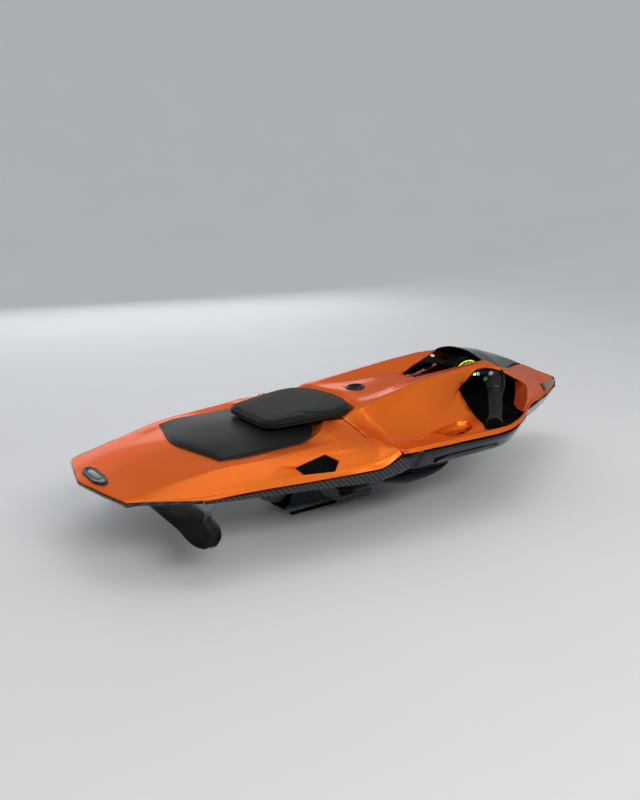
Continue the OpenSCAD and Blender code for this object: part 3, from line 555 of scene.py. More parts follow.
def skin(name, outer, inner, mat, gap=lambda i, j: False, **part):
    """Sheet between two nets, closed round its border and round the cells in gap."""
    rows, cols = outer.shape[:2]
    n = rows * cols
    open_cell = np.ones((rows + 1, cols + 1), bool)
    for i in range(rows - 1):
        for j in range(cols - 1):
            open_cell[i + 1, j + 1] = gap(i, j)
    faces = []
    for i in range(rows - 1):
        for j in range(cols - 1):
            if open_cell[i + 1, j + 1]:
                continue
            a = i * cols + j
            b, c, d = a + 1, a + cols + 1, a + cols
            faces += [(a, b, c, d), (n + a, n + d, n + c, n + b)]
            if open_cell[i + 1, j]:
                faces.append((a, d, n + d, n + a))
            if open_cell[i + 1, j + 2]:
                faces.append((c, b, n + b, n + c))
            if open_cell[i, j + 1]:
                faces.append((b, a, n + a, n + b))
            if open_cell[i + 2, j + 1]:
                faces.append((d, c, n + c, n + d))
    verts = np.concatenate([outer.reshape(-1, 3), inner.reshape(-1, 3)])
    return add(name, verts, faces, mat, **part)


def band(i, k, nxt, n, shift=0):
    """Quad k between ring i and ring nxt, each of n points."""
    return (i * n + k, i * n + (k + 1) % n, nxt * n + (k + 1 + shift) % n,
            nxt * n + (k + shift) % n)


def loft(name, rings, mat, **part):
    """Solid through the rings, capped at both ends."""
    rings = array(rings, float)
    m, n = rings.shape[:2]
    faces = [band(i, k, i + 1, n) for i in range(m - 1) for k in range(n)]
    faces += [tuple(range(n - 1, -1, -1)), tuple((m - 1) * n + k for k in range(n))]
    return add(name, rings.reshape(-1, 3), faces, mat, **part)


def ringed(name, rings, mat, **part):
    """Closed band: rings joined last to first as well as round."""
    rings = array(rings, float)
    m, n = rings.shape[:2]
    faces = [band(i, k, (i + 1) % m, n) for i in range(m) for k in range(n)]
    return add(name, rings.reshape(-1, 3), faces, mat, **part)


def tube(name, path, radius, mat, seg=12, closed=False, squash=1.0, **part):
    """Swept tube; radius is a number or one per point, squash flattens the section."""
    path = array(path, float)
    m = len(path)
    radius = np.broadcast_to(np.asarray(radius, float), (m,))
    if closed:
        t = unit(np.roll(path, -1, 0) - np.roll(path, 1, 0))
    else:
        t = unit(np.gradient(path, axis=0))
    ref = array([0.0, 0.0, 1.0]) if abs(t[0][2]) < 0.9 else array([1.0, 0.0, 0.0])
    u = unit(ref - t[0] * (ref @ t[0]))
    rings = []
    for i in range(m):
        u = unit(u - t[i] * (u @ t[i]))
        v = np.cross(t[i], u)
        rings.append([path[i] + radius[i] * (u * math.cos(a) * squash + v * math.sin(a))
                      for a in turns(seg)])
    if not closed:
        return loft(name, rings, mat, **part)
    rings = array(rings)
    # match the seam of the last ring to the first
    shift = min(range(seg), key=lambda s: np.linalg.norm(np.roll(rings[-1], s, 0) - rings[0]))
    faces = [band(i, k, (i + 1) % m, seg, -shift if i == m - 1 else 0)
             for i in range(m) for k in range(seg)]
    return add(name, rings.reshape(-1, 3), faces, mat, **part)


def cord(name, path, radius, mat, slot, seg=8, closed=True):
    """Round strip with fully smooth sides."""
    return shade(tube(name, path, radius, mat, seg=seg, closed=closed, slot=slot), 60)


def clone(node, name, mat, slot, width, segments=2, angle=28, sharp=34, body="hull"):
    """Finished copy of a CAD node that stands for it: welded, rounded and shaded."""
    src = NODES[node]
    me = src.data.copy()
    o = bpy.data.objects.new(name, me)
    SCENE.collection.objects.link(o)
    o.matrix_world = src.matrix_world.copy()
    bm = bmesh.new()
    bm.from_mesh(me)
    bmesh.ops.remove_doubles(bm, verts=bm.verts, dist=2e-6)
    bmesh.ops.dissolve_limit(bm, angle_limit=math.radians(1.5), verts=bm.verts, edges=bm.edges)
    bm.to_mesh(me)
    bm.free()
    me.materials.clear()
    me.materials.append(mat)
    for p in me.polygons:
        p.material_index = 0
    if "custom_normal" in me.attributes:
        me.attributes.remove(me.attributes["custom_normal"])
    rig.ride(o, body)
    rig.slot(o, slot)
    bevel(o, width, segments, angle, sharp)
    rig.replaces(o, node)


def left_twin(right, slot):
    """Mirror image of a right-hand piece."""
    me = right.data.copy()
    me.transform(Matrix.Diagonal((1, -1, 1, 1)))
    me.flip_normals()
    left = bpy.data.objects.new(right.name.replace("_right", "_left"), me)
    SCENE.collection.objects.link(left)
    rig.ride(left, "hull")
    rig.slot(left, slot)
    return left


def twins(right, slot, node):
    """Add the left twin and let both stand for their CAD nodes."""
    left = left_twin(right, slot)
    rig.replaces(right, node + "_right")
    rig.replaces(left, node + "_left")


# ------------------------------------------------------------------ shell nets
# (x, half width) and (x, height) of the rim
RIM_Y = [(-660, 0), (-626, 139), (-509, 205), (-440, 217), (-274, 246), (-164, 263),
         (-109, 266), (-3, 272), (60, 275), (95, 277), (158, 277), (185, 273), (216, 262),
         (300, 215), (352, 178), (440, 139), (511, 101), (586, 56), (648, 17), (660, 9)]
RIM_Z = [(-660, -3), (-164, 0), (-109, 20), (440, 20), (511, 12), (586, 6), (660, 0)]


def rim_y(x):
    return lookup(x, RIM_Y)


def rim_z(x):
    return lookup(x, RIM_Z)


# top shell: one row per station from aft to bow, (x, y, z) from the middle out to the rim
TOP = [
    [[-150,0,46], [-150,12,46], [-150,92,46], [-150,113,62], [-152,122,62], [-146,144,54.5],
     [-144.4,166,47.3], [-142.5,188,40.6], [-130.5,213,34.9], [-125,238,31], [-113,262,27],
     [-109,266,20]],
    [[-92,0,59], [-92,12,59], [-112,90,57], [-108,108,74.5], [-108,116,73], [-92,134,47],
     [-82,160,29], [-87,193,17], [-93,225,12.5], [-98,244,14.5], [-99,258.5,25], [-99,264,18.4]],
    [[-83,0,78.6], [-83,12,78.6], [-99,93,76.3], [-98,108,77], [-98,116.3,75.6], [-82,131,49.5],
     [-73,157,28], [-76,191,16], [-82,223,11.5], [-86,244.5,13.5], [-86,260,25],
     [-86,265.5,18.2]],
    [[-40,0,83.4], [-40,12,83.4], [-38,74,81.5], [-38,101,85], [-38,109,84], [-32,119,57],
     [-22,150,25], [-24,186,13], [-30,216,9], [-29,246,12], [-28,264,26], [-28,270,19]],
    [[-16,0,85.6], [-16,12,85.6], [-14,66,84], [-14,98,88.5], [-14,106,87.5], [-8,116,61],
     [3,147,25], [2,183,12], [-3,214,8], [-2,246,12], [0,266,26], [0,272,19]],
    [[50,0,90], [50,12,90], [50,44,89], [50,90,99.5], [50,99,98.5], [52,111,74],
     [60,144,25], [60,180,10], [60,212,7], [60,248,11], [60,268,27], [60,275,20]],
    [[126,0,91], [126,12,91], [127,23,91], [117,88,107.5], [117,97,106.5], [118,108,85],
     [113,138,29], [108,172,13], [102,205,9], [95,246,12], [95,269,27], [95,277,20]],
    [[185,0,100], [185,12,100], [190,44,102], [195,88,114], [195,97,113], [211,99.5,80],
     [195,101,68], [190,146,31], [152,220,23], [140,248,19], [150,270,27], [158,277,20]],
    [[240,0,110], [240,12,110], [245,62,112], [249,89,119.5], [249,98,118.5], [249,101,108],
     [240,120,70], [220,160,40], [200,220,24], [178,250,19], [182,268,27], [185,273,20]],
    [[285,0,118], [285,12,118], [288,78,121], [300,91,117], [305,102,110], [303,105,104],
     [290,120,70], [270,160,40], [240,220,24], [204,248,20], [213,258,28], [216,262,20]],
    [[345,0,100], [345,12,100], [350,69,101], [338,104,99], [350,125,88], [362,146,74],
     [365,158,64], [341,181,45], [320,196,33], [301,208,25], [300,213,26], [300,215,20]],
    [[387,0,86], [387,12,86], [387,63,86], [385,95,81], [391,115,74], [396,130,66],
     [397,140,57], [387,151,44], [375,159,35], [365,166,28], [355,173,24], [352,178,20]],
    [[452,0,79], [452,8,79], [452,32,79], [450,62,72], [449,84,62], [448,97,53],
     [447,106,45], [446,116,36], [444,124,30], [443,130,25], [441,136,22], [440,139,20]],
    [[518,0,70], [518,2.5,70], [518,5,69.8], [516,32,61], [514,50,51], [511,63,41],
     [507,77,30], [508,84,24], [510,90,19], [511,95,16], [511,99,14], [511,101,12]],
    [[586,0,44.5], [586,3,44.3], [586,8,43.5], [586,21,38], [586,32,31.5], [586,39,26],
     [586,45,20], [586,48,16], [586,50.5,13], [586,53,10.5], [586,55,8], [586,56,6]],
    [[646,0,22], [646,1,21.9], [646,3,21.5], [646,7,19.5], [646,10,17], [646,12,14.5],
     [646,13.5,12], [646,14.7,9.5], [646,15.6,7.5], [646,16.4,5.5], [646,17,3.5],
     [646,17.5,2]]]
# rear cover, in the same layout
REAR = [
    [[-659,0,0], [-650,45,0], [-641,88,0], [-637,104,0], [-636,108,0], [-635.4,110.5,0],
     [-633,120,0], [-629,131,-0.5], [-627.5,135,-1.5], [-626,139,-3]],
    [[-612,0,6], [-606,45,6], [-600,92,5.5], [-597,112,5.2], [-596,118,5], [-595.4,120.5,5],
     [-592,134,4.5], [-588,150,1], [-586,156,-0.5], [-584,162,-3]],
    [[-545,0,21], [-540,50,21], [-535,95,20], [-531,122,19.2], [-530,128,19],
     [-529.4,130.5,19], [-525,147,18], [-518,180,8], [-513,193,2.5], [-509,205,-3]],
    [[-472,0,35], [-462,58,34.5], [-446,112,33], [-441,136,33], [-440,142,33],
     [-439.6,144.5,33], [-436,167,32], [-438,196,17], [-439,207,8], [-440,217,-2]],
    [[-400,0,41], [-400,58,40.5], [-400,115,37.5], [-400,148,35], [-400,153,35],
     [-400,155.5,35], [-400,176,34], [-400,200,19], [-400,213,9], [-400,224,-1]],
    [[-340,0,45], [-340,58,44], [-340,115,39.5], [-340,147,35.5], [-340,152,35.5],
     [-340,154.5,35.7], [-340,181,36.5], [-330,206,27], [-318,228,9.5], [-316,239,-1]],
    [[-268,0,47.5], [-268,58,46.5], [-268,115,40.5], [-266,146,37], [-262,150,38],
     [-259,153,39.5], [-256,187,41.5], [-256,208,36.5], [-252,238,9], [-250,249,-1]],
    [[-232,0,47.5], [-232,52,46.5], [-234,92,43.5], [-236,130,40.5], [-222,139,51.5],
     [-216,161,51], [-206,190,44.5], [-199,226,35], [-197,246,14], [-196,257,-1]],
    [[-194,0,47.5], [-195,45,47], [-202,75,44], [-209,95,42.5], [-184,98,57.5],
     [-180,152,52.5], [-165,186,43.5], [-158,225,35.5], [-160,248,18], [-162,262.5,1]],
    [[-154,0,44], [-154,58,44], [-154,92,43.5], [-156,104,50], [-154,123,61], [-150,144,54],
     [-147.5,188,40.1], [-135,214,34.7], [-129.6,238,30.8], [-119.6,262,26.4],
     [-116.4,265.4,20]]]
# stations of ten points get one more, just inside the rim
REAR = [row if len(row) == 11
        else row[:9] + [list(0.45 * array(row[8], float) + 0.55 * array(row[9], float)), row[9]]
        for row in REAR]
TOP_MID, REAR_MID = 11, 10      # panels on each side of the middle plane


def net_grid(net):
    """Station of each row, and panels off the middle plane of each column."""
    rows, cols = net.shape[:2]
    middle = cols // 2 / STEPS
    return np.arange(rows)[:, None] / STEPS, np.abs(np.arange(cols)[None] / STEPS - middle)


def rise(v, start, width=1):
    return np.clip((v - start) / width, 0, 1)


def fall(v, end, width=1):
    return np.clip((end - v) / width, 0, 1)


def patch(grid, row_in, row_out, col_in, col_out):
    """Weights over a region; each border is (where weight is 0, width of its ramp)."""
    row, col = grid
    return rise(row, *row_in) * fall(row, *row_out) * rise(col, *col_in) * fall(col, *col_out)


def faired(net, weight, rounds, cap):
    """Even out a weighted region; points move only along the normal, up to cap."""
    out, moved = normals(net), net.copy()
    for _ in range(rounds):
        lag = np.zeros_like(moved)
        lag[1:-1, 1:-1] = (moved[2:, 1:-1] + moved[:-2, 1:-1] + moved[1:-1, 2:]
                           + moved[1:-1, :-2]) / 4 - moved[1:-1, 1:-1]
        moved = moved + out * (lag * out).sum(-1, keepdims=True) * weight[..., None]
    shift = ((moved - net) * out).sum(-1, keepdims=True)
    return net + out * np.tanh(shift / cap) * cap


def run_fair(net, weight, rounds, cap):
    """Even out each long line of the net; points move only across the line, up to cap."""
    moved = net.copy()
    for _ in range(rounds):
        lag = np.zeros_like(moved)
        lag[1:-1] = (moved[2:] + moved[:-2]) / 2 - moved[1:-1]
        way = np.zeros_like(moved)
        way[1:-1] = unit(moved[2:] - moved[:-2])
        lag = lag - way * (lag * way).sum(-1, keepdims=True)
        moved = moved + lag * weight[..., None]
    return net + limited(moved - net, cap)


def make_top_net():
    creases = both_halves((3, 4, 6, 10), 12)
    net = smoothed(lift(full(TOP)), STEPS, creases)
    # ahead of the foot wells the walls run straight into the hand openings
    straight = smoothed(lift(full(TOP)), STEPS, creases, (7,))
    row, col = grid = net_grid(net)
    weight = rise(col, 4.0, 0.6) * fall(col, 8.6) * ((row >= 6) & (row <= 7))
    net = net + (straight - net) * weight[..., None]
    walls = patch(grid, (1.0, 1.6), (7.0, 0.2), (4.15, 0.4), (6.9, 0.8))
    net = faired(net, walls * 0.9, rounds=50, cap=5.0)
    bow = patch(grid, (10.15, 0.5), (14.9, 0.5), (2.05, 0.5), (10.4, 0.4))
    net = run_fair(net, bow, rounds=90, cap=6.0)
    crest = patch(grid, (2.2, 0.5), (9.0, 0.6), (1.1, 0.4), (4.6, 0.4))
    return run_fair(net, crest, rounds=40, cap=3.0)


def make_rear_net():
    creases = both_halves((3, 4, 5, 6), 11)
    net = smoothed(lift(full(REAR)), STEPS, creases)
    # the facets round the mat's front end meet in straight edges; the flanks stay smooth
    faceted = smoothed(lift(full(REAR)), STEPS, creases, (6, 7, 8))
    grid = net_grid(net)
    weight = rise(grid[1], 2.2, 0.8) * fall(grid[1], 7.4)
    net = net + (faceted - net) * weight[..., None]
    flanks = patch(grid, (0.2, 0.8), (8.9, 0.3), (6.1, 0.3), (9.0, 0.3))
    return faired(net, flanks * 0.9, rounds=40, cap=3.0)


top_net = make_top_net()
rear_net = make_rear_net()


def half_cell(j, middle):
    """Panel number counted outwards from the middle plane."""
    return middle - 1 - j if j < middle else j - middle


def thickened(net, regions):
    """Wall offsets of a net: 3.6, and more in (rows, cols, offset) regions."""
    row, col = net_grid(net)
    offset = np.full(net.shape[:2], -3.6)
    for (row0, row1), (col0, col1), value in regions:
        inside = (row0 <= row) & (row <= row1) & (col0 <= col) & (col <= col1)
        offset[inside] = value
    return offset


# ------------------------------------------------------------------ charge port frame
PORT_CENTRE = lift([-28, 0, 84.6])


def at_port(points):
    return rot_y(points, -5.2) + PORT_CENTRE


# ------------------------------------------------------------------ top shell
def top_gap(i, j):
    row, col = i // STEPS, half_cell(j // STEPS, TOP_MID)
    hand_opening = 7 <= row <= 9 and 5 <= col <= 8
    cockpit = 6 <= row <= 12 and col <= 1
    port = row == 3 and col == 0
    return hand_opening or cockpit or port


# two steps of the foot scoop on the right: outline, depth of the floor under it
SCOOP = [
    ([(-34, -196, 10.5), (20, -203, 9), (66, -205, 8), (66, -172, 10), (28, -176, 12.5),
      (-8, -184, 12.5)], 1.2),
    ([(66, -209, 4), (120, -213, 5), (138, -204, 9), (150, -176, 15), (132, -164, 13.5),
      (66, -171, 8.5)], 4.5)]
top_wall = thickened(top_net, [((9.995, 10.395), (4.9, 8.05), -4.0),
                               ((2.2, 7.0), (6.6, 9.8), -12.0)])
top_shell = skin("top_shell_skin", top_net, pushed(top_net, top_wall), ORANGE, top_gap,
                 slot="orange")
for side in (1, -1):
    for outline, depth in SCOOP:
        low = array(outline, float)
        centre = low.mean(0)
        wide = centre + (low - centre) * 1.10
        cut(top_shell, [to_side(lift(low - [0, 0, depth]), side),
                        to_side(lift(wide + [0, 0, 26]), side)])
cut(top_shell, [at_port(circle(19.0, z, 48)) for z in (-14, 10)])
bevel(top_shell, 1.1, 3, angle=24, sharp=36)
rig.replaces(top_shell, "top_shell")


def hand_flange(side, name):
    """Turned-in flange round the front of a hand opening."""
    out = normals(top_net)
    row = 10 * STEPS
    roots, edges = [], []
    for k in range(5 * STEPS, 9 * STEPS + 1, 2):
        col = TOP_MID * STEPS + side * k
        panel = abs(col / STEPS - TOP_MID)
        # narrower towards both ends
        share = min(1.0, 0.45 + (panel - 5.0) / 1.2) * min(1.0, 0.25 + (9.0 - panel) / 1.3)
        roots.append(top_net[row, col] - out[row, col] * 2.0)
        turn_in = array([-12.0, -side * 26.0, 2.0 if panel < 7.5 else -1.0])
        edges.append(roots[-1] + turn_in * share)
    rings = []
    for k, (root, edge) in enumerate(zip(roots, edges)):
        tangent = unit(roots[min(k + 1, len(roots) - 1)] - roots[max(k - 1, 0)])
        half = unit(np.cross(tangent, edge - root)) * 1.3
        rings.append([root + half, edge + half, edge - half, root - half])
    # the flange takes the darker orange copy: painted shade
    bevel(loft("hand_opening_flange_" + name, rings, ORANGE_PAINTED_SHADE, slot="orange"),
          0.6, angle=40, sharp=40)


for side, name in SIDES:
    hand_flange(side, name)

# ------------------------------------------------------------------ rear cover, side vents
# right vent: corners from upper aft, over the front, to lower aft; outward normal
VENT = [(-326.8, -212.7, 21.9), (-260.0, -210.7, 33.8), (-239.5, -227.7, 20.9),
        (-258.1, -240.0, 6.7), (-314.2, -228.4, 9.1)]
VENT_NORMAL = unit(array([-0.1098, -0.6789, 0.7260]))
RAMP_LOW, RAMP_HIGH = (-404, -213, 9), (-366, -197, 27)     # aft end of the vent's ramp
COMB_PITCH, COMB_WALL, COMB_DEPTH = 6.0, 1.1, 3.4


class Vent:
    """Outline of a vent: 1 for the right side, -1 for the left."""

    def __init__(self, side):
        self.normal = to_side(VENT_NORMAL, side)
        self.rim = to_side(lift(VENT), side)
        self.centre = self.rim.mean(0)

    def ring(self, scale, height):
        return self.centre + (self.rim - self.centre) * scale + self.normal * height


def cut_vent(cover, side):
    vent = Vent(side)
    rim, out = vent.rim, vent.normal
    cut(cover, [vent.ring(0.97, -9.5), vent.ring(1.05, 14)])
    # ramp that leads into the vent from astern and stops just past its rear edge
    low, high = to_side(lift(RAMP_LOW), side), to_side(lift(RAMP_HIGH), side)
    front = [rim[0] + (rim[1] - rim[0]) * 0.04, rim[4] + (rim[3] - rim[4]) * 0.04]
    cut(cover, [[low + out * 0.4, high + out * 0.4] + [p - out * 6.0 for p in front],
                [low - [8, 0, 0] + out * 16, high - [6, 0, 0] + out * 16]
                + [p + out * 16 for p in front]])


def contains(polygon, x, y):
    inside = False
    for k, (x1, y1) in enumerate(polygon):
        x2, y2 = polygon[(k + 1) % len(polygon)]
        if (y1 > y) != (y2 > y) and x < (x2 - x1) * (y - y1) / (y2 - y1) + x1:
            inside = not inside
    return inside


def honeycomb(name, side):
    """Hexagon mesh in a vent, with its frame; a plate closes the vent behind it."""
    vent = Vent(side)
    out = vent.normal
    along = unit(vent.rim[1] - vent.rim[0])
    across = np.cross(out, along)
    base = vent.centre - out * 5.0
    polygon = [((p - vent.centre) @ along, (p - vent.centre) @ across)
               for p in vent.ring(0.92, 0)]
    outer = COMB_PITCH / math.sqrt(3)
    inner = (COMB_PITCH - COMB_WALL) / math.sqrt(3)
    verts, faces, index = [], [], {}

    def hexagon(x, y, radius, depth):
        """Indices of the six corners; neighbouring cells share theirs."""
        corners = []
        for a in (math.radians(30 + 60 * k) for k in range(6)):
            p = (base - out * depth + along * (x + radius * math.cos(a))
                 + across * (y + radius * math.sin(a)))
            key = tuple(np.round(p, 3))
            if key not in index:
                index[key] = len(verts)
                verts.append(p)
            corners.append(index[key])
        return corners

    for a in range(-12, 13):
        for b in range(-9, 10):
            x, y = COMB_PITCH * (a + 0.5 * (b % 2)), COMB_PITCH * math.sqrt(3) / 2 * b
            if not contains(polygon, x, y):
                continue
            rings = [hexagon(x, y, radius, depth)
                     for depth in (0, COMB_DEPTH) for radius in (outer, inner)]
            top_out, top_in, low_out, low_in = rings
            for k in range(6):
                q = (k + 1) % 6
                faces.append((top_out[k], top_out[q], top_in[q], top_in[k]))
                faces.append((top_in[k], top_in[q], low_in[q], low_in[k]))
                faces.append((low_in[k], low_in[q], low_out[q], low_out[k]))
    comb = add(name, verts, faces, LINER, slot="liner_black", recalc=False)
    bm = bmesh.new()
    bm.from_mesh(comb.data)
    # close the outer border: pair each edge of the outer face with the one beneath it
    border = {}
    for e in [e for e in bm.edges if e.is_boundary]:
        ends = [array(v.co / MM) for v in e.verts]
        on_top = abs((ends[0] - base) @ out) < 0.6
        raised = (0.0 if on_top else COMB_DEPTH) * out
        key = tuple(sorted(tuple(np.round(p + raised, 1)) for p in ends))
        border.setdefault(key, []).append(e)
    for pair in border.values():
        if len(pair) == 2:
            # guards pairs that cannot be bridged; they stay open
            try:
                bmesh.ops.bridge_loops(bm, edges=pair)
            except Exception:
                pass
    bmesh.ops.recalc_face_normals(bm, faces=bm.faces)
    bm.to_mesh(comb.data)
    bm.free()
    section = ((1.0, -7.6), (1.0, -4.0), (0.93, -4.0), (0.93, -7.6))
    rim_frame = ringed(name + "_frame", [vent.ring(*p) for p in section], LINER)
    loft(name + "_back", [vent.ring(0.99, -8.8), vent.ring(0.99, -9.3)], SEAL)
    return join([comb, rim_frame])


rear_wall = thickened(rear_net, [((3.6, 7.4), (6.3, 8.9), -15.0)])
rear = skin("rear_cover_skin", rear_net, pushed(rear_net, rear_wall), ORANGE, slot="orange")
for side in (1, -1):
    cut_vent(rear, side)
bevel(rear, 1.0, 3, angle=22, sharp=36)
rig.replaces(rear, "rear_cover")
for side, name in ((1, "right"), (-1, "left")):
    comb = honeycomb("vent_honeycomb_" + name, side)
    shade(comb, 30)
    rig.replaces(comb, "vent_mesh_" + name)

# ------------------------------------------------------------------ lower hull
# (x, height) of the keel, the chine and the line above it
KEEL = [(-151, -147), (-60, -141), (27, -134), (81, -126), (112, -121), (160, -116),
        (300, -100), (420, -78), (520, -56), (600, -38), (652, -20)]
CHINE = [(-151, -58), (0, -48), (139, -40), (205, -34), (269, -25), (350, -24), (450, -26),
         (520, -24), (600, -20), (652, -15)]
SIDE = [(-151, -26), (200, -20), (330, -13), (450, -12), (520, -13), (652, -12)]
HULL_X = [-150, -140, -70, -62, 0, 60, 95, 158, 185, 216, 258, 300, 352, 396, 440, 475, 511,
          548, 586, 617, 642]
HULL_STEPS = 4
# right-hand waist slit: x, share of the half width, height
SLIT = [(-6, 0.955, -24.5), (70, 0.955, -22.5), (112, 0.955, -20.5), (60, 0.962, -20.2),
        (0, 0.962, -22.0)]


def hull_y(x):
    return rim_y(x) - lookup(x, [(-84, 13.5), (-62, 0.5), (500, 0.5), (652, 0.3)])


def hull_row(x):
    y, keel, chine, z = hull_y(x), lookup(x, KEEL), lookup(x, CHINE), lookup(x, SIDE)
    flat = min(46, 0.25 * y)
    return [[x, 0, keel], [x, flat, keel + (chine - keel) * 0.03],
            [x, max(flat + 1, 0.36 * y), keel + (chine - keel) * 0.28], [x, 0.78 * y, chine],
            [x, 0.93 * y, z], [x, y - 1.2, rim_z(x) - 13], [x, y, rim_z(x) - 6.5]]


def hull_gap(i, j):
    return i // HULL_STEPS == 1 and half_cell(j // HULL_STEPS, 6) == 0


hull_net = smoothed(lift(full([hull_row(x) for x in HULL_X])), HULL_STEPS, tuple(range(13)),
                    (1, 2, 3))
hull = skin("lower_hull_skin", pushed(hull_net, 3.4), hull_net, HULL_BLACK, hull_gap,
            slot="hull_black")
for side in (1, -1):
    slit = to_side(lift([(x, -share * hull_y(x), z) for x, share, z in SLIT]), side)
    outward = array([0, -side * 8.0, 0])
    cut(hull, [slit - outward * 0.3, slit + outward])
bevel(hull, 1.2, angle=20, sharp=32)
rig.replaces(hull, "bottom_hull")

# ------------------------------------------------------------------ tail tray and edge band
TRAY_X = [-655.5, -600, -540, -509, -440, -350, -274, -210, -156]
TRAY_Z = [(-655, -10.5), (-600, -12.5), (-509, -14), (-280, -22), (-154, -29)]


def tray_row(x):
    y = rim_y(x + 26 if x < -620 else x) + 1.0 if x < -520 else rim_y(x) - 16
    z = lookup(x, TRAY_Z)
    sweep = 0.245 if x < -620 else 0.12 if x < -580 else 0
    return [[x, 0, z], [x + sweep * y * 0.4, 0.4 * y, z], [x + sweep * y * 0.8, 0.8 * y, z],
            [x + sweep * y * 0.96, 0.96 * y, z + 1],
            [x + sweep * y, y, -5.2 if x < -520 else -6.5]]


def tail_band():
    """Carbon band that shows behind the tail edge of the rear cover."""
    flank = [(x, rim_y(x)) for x in (-512, -545, -584, -608)]
    path = array([(x, -y, -2.6) for x, y in flank]
                 + [(x, y, z - 2.6) for x, y, z in full([REAR[0]])[0]]
                 + [(x, y, -2.6) for x, y in flank[::-1]])
    rings = []
    for k, p in enumerate(path):
        d = path[min(k + 1, len(path) - 1)] - path[max(k - 1, 0)]
        out = unit(array([-abs(d[1]), np.sign(p[1] + 1e-9) * abs(d[0]), 0.0]))
        # offset outwards, drop
        section = ((2.6, 0), (3.0, 1.6), (0.6, 6.6), (-5.0, 8.0), (-5.0, 0.4))
        rings.append([p + out * offset - array([0, 0, drop]) for offset, drop in section])
    bevel(loft("tail_edge_band", lift(rings), CARBON_TRAY, slot="carbon"), 0.7, angle=25)


tray_net = smoothed(lift(full([tray_row(x) for x in TRAY_X])), 4, (0, 1, 7, 8), (2, 3))
tray = skin("tail_tray_skin", pushed(tray_net, 2.5), tray_net, CARBON_TRAY, slot="carbon")
bevel(tray, 1.0, angle=22)
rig.replaces(tray, "tail_tray")
tail_band()

# ------------------------------------------------------------------ side fairings
FAIRING_X = [-509, -484, -440, -350, -274, -210, -164, -136, -112, -96]
FAIRING_TOP = [(-509, -7.5), (-164, -4.5), (-112, 13), (-96, -2)]
FAIRING_LOW = [(-509, -12), (-484, -14), (-274, -22), (-170, -28), (-112, -20), (-96, -14)]


def fairing_row(x):
    y, high, low = rim_y(x), lookup(x, FAIRING_TOP), lookup(x, FAIRING_LOW)
    return [[x, -(y - 4), low], [x, -(y - 1), (high + low) / 2], [x, -(y - 1), high]]


fairing_net = smoothed(lift([fairing_row(x) for x in FAIRING_X]), 3, (0, 1, 2), (1, 6, 8))
fairing = skin("side_fairing_skin_right", fairing_net, pushed(fairing_net, -7.2), CARBON_SIDE,
               slot="carbon")
bevel(fairing, 0.9, angle=24)
twins(fairing, "carbon", "side_fairing")


# ------------------------------------------------------------------ waist inlays
def inlay_row(x):
    y, z = hull_y(x), lookup(x, SIDE)
    share = min(1.0, 0.55 + (x + 20) / 70.0, 0.55 + (158 - x) / 45.0)
    return [[x, -(0.93 * y + 1.2), z + 2],
            [x, -(0.5 * (0.93 * y + y - 1.2) + 1.0), z + (rim_z(x) - 13 - z) * 0.55 * share]]


def lens_strip(name, net, node):
    """Thin dark strip laid on a net on the right, with its left twin."""
    strip = skin(name, pushed(net, 2.0), pushed(net, 0.3), LENS, slot="lens")
    twins(bevel(strip, 0.5, angle=25), "lens", node)


lens_strip("waist_inlay_right", lift([inlay_row(x) for x in np.linspace(-20, 158, 15)]),
           "side_trim")

# ------------------------------------------------------------------ bow
clone("nose_cap", "bow_cap", LINER, "liner_black", 1.2)
lens_cols = [(TOP_MID - k) * STEPS for k in (9, 7, 6)]
lens_strip("bow_lens_right", top_net[13 * STEPS:15 * STEPS + 1:2][:, lens_cols], "nose_lens")

# inner strip that backs the joint between shell and lower hull, all round the bow
BACKING_X = (-92, -40, 20, 60, 95, 158, 185, 216, 258, 300, 352, 396, 440, 475, 511, 548, 586,
             617, 638)
path = [(x, -rim_y(x)) for x in BACKING_X] + [(x, rim_y(x)) for x in BACKING_X[::-1]]
rings = []
for x, y in path:
    side, z = (-1 if y < 0 else 1), rim_z(x)
    outer = y - side * min(7.5, 0.5 * abs(y))
    inner = y - side * min(10.5, 0.8 * abs(y))
    rings.append([[x, outer, z - 13], [x, outer, z + 0.3], [x, inner, z + 0.3],
                  [x, inner, z - 13]])
loft("hull_joint_backing", lift(rings), SEAL, slot="seal")

# ------------------------------------------------------------------ deck mat
middle, half = REAR_MID * STEPS, 3 * STEPS
mat_net = rear_net[3 * STEPS:8 * STEPS + 1, middle - half:middle + half + 1] * [1, 0.985, 1]
mat_top = np.full(mat_net.shape[:2], 2.2)
mat_top[1:-1, 1:-1] = 4.1
deck_mat = skin("deck_mat_sheet", pushed(mat_net, mat_top), pushed(mat_net, 0.5), MAT_FOAM,
                slot="mat_black")
bevel(deck_mat, 0.8, angle=24, sharp=40)
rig.replaces(deck_mat, "deck_mat")
bead = pushed(mat_net, 2.0)
cord("deck_mat_bead", np.concatenate([bead[0], bead[1:, -1], bead[-1, -2::-1], bead[-2:0:-1, 0]]),
     1.1, PIPING, "mat_black")

# ------------------------------------------------------------------ chest pad
PAD_THICK, PAD_TILT = 15.0, math.tan(math.radians(3.5))
# (x, y) of the left half, from the aft end to the front
PAD = [(-312, 0), (-311, 66), (-297, 86), (-230, 102), (-160, 112), (-129, 106), (-108, 88),
       (-95, 50), (-91, 0)]
PAD_SHRINK = 0.9                    # the swelling fills this back up
PAD_LIFT, PAD_SINK = 0.8, -1.4      # the same for the underside and the top
PAD_EDGE = 8.5                      # largest true inset; further in the outline is scaled
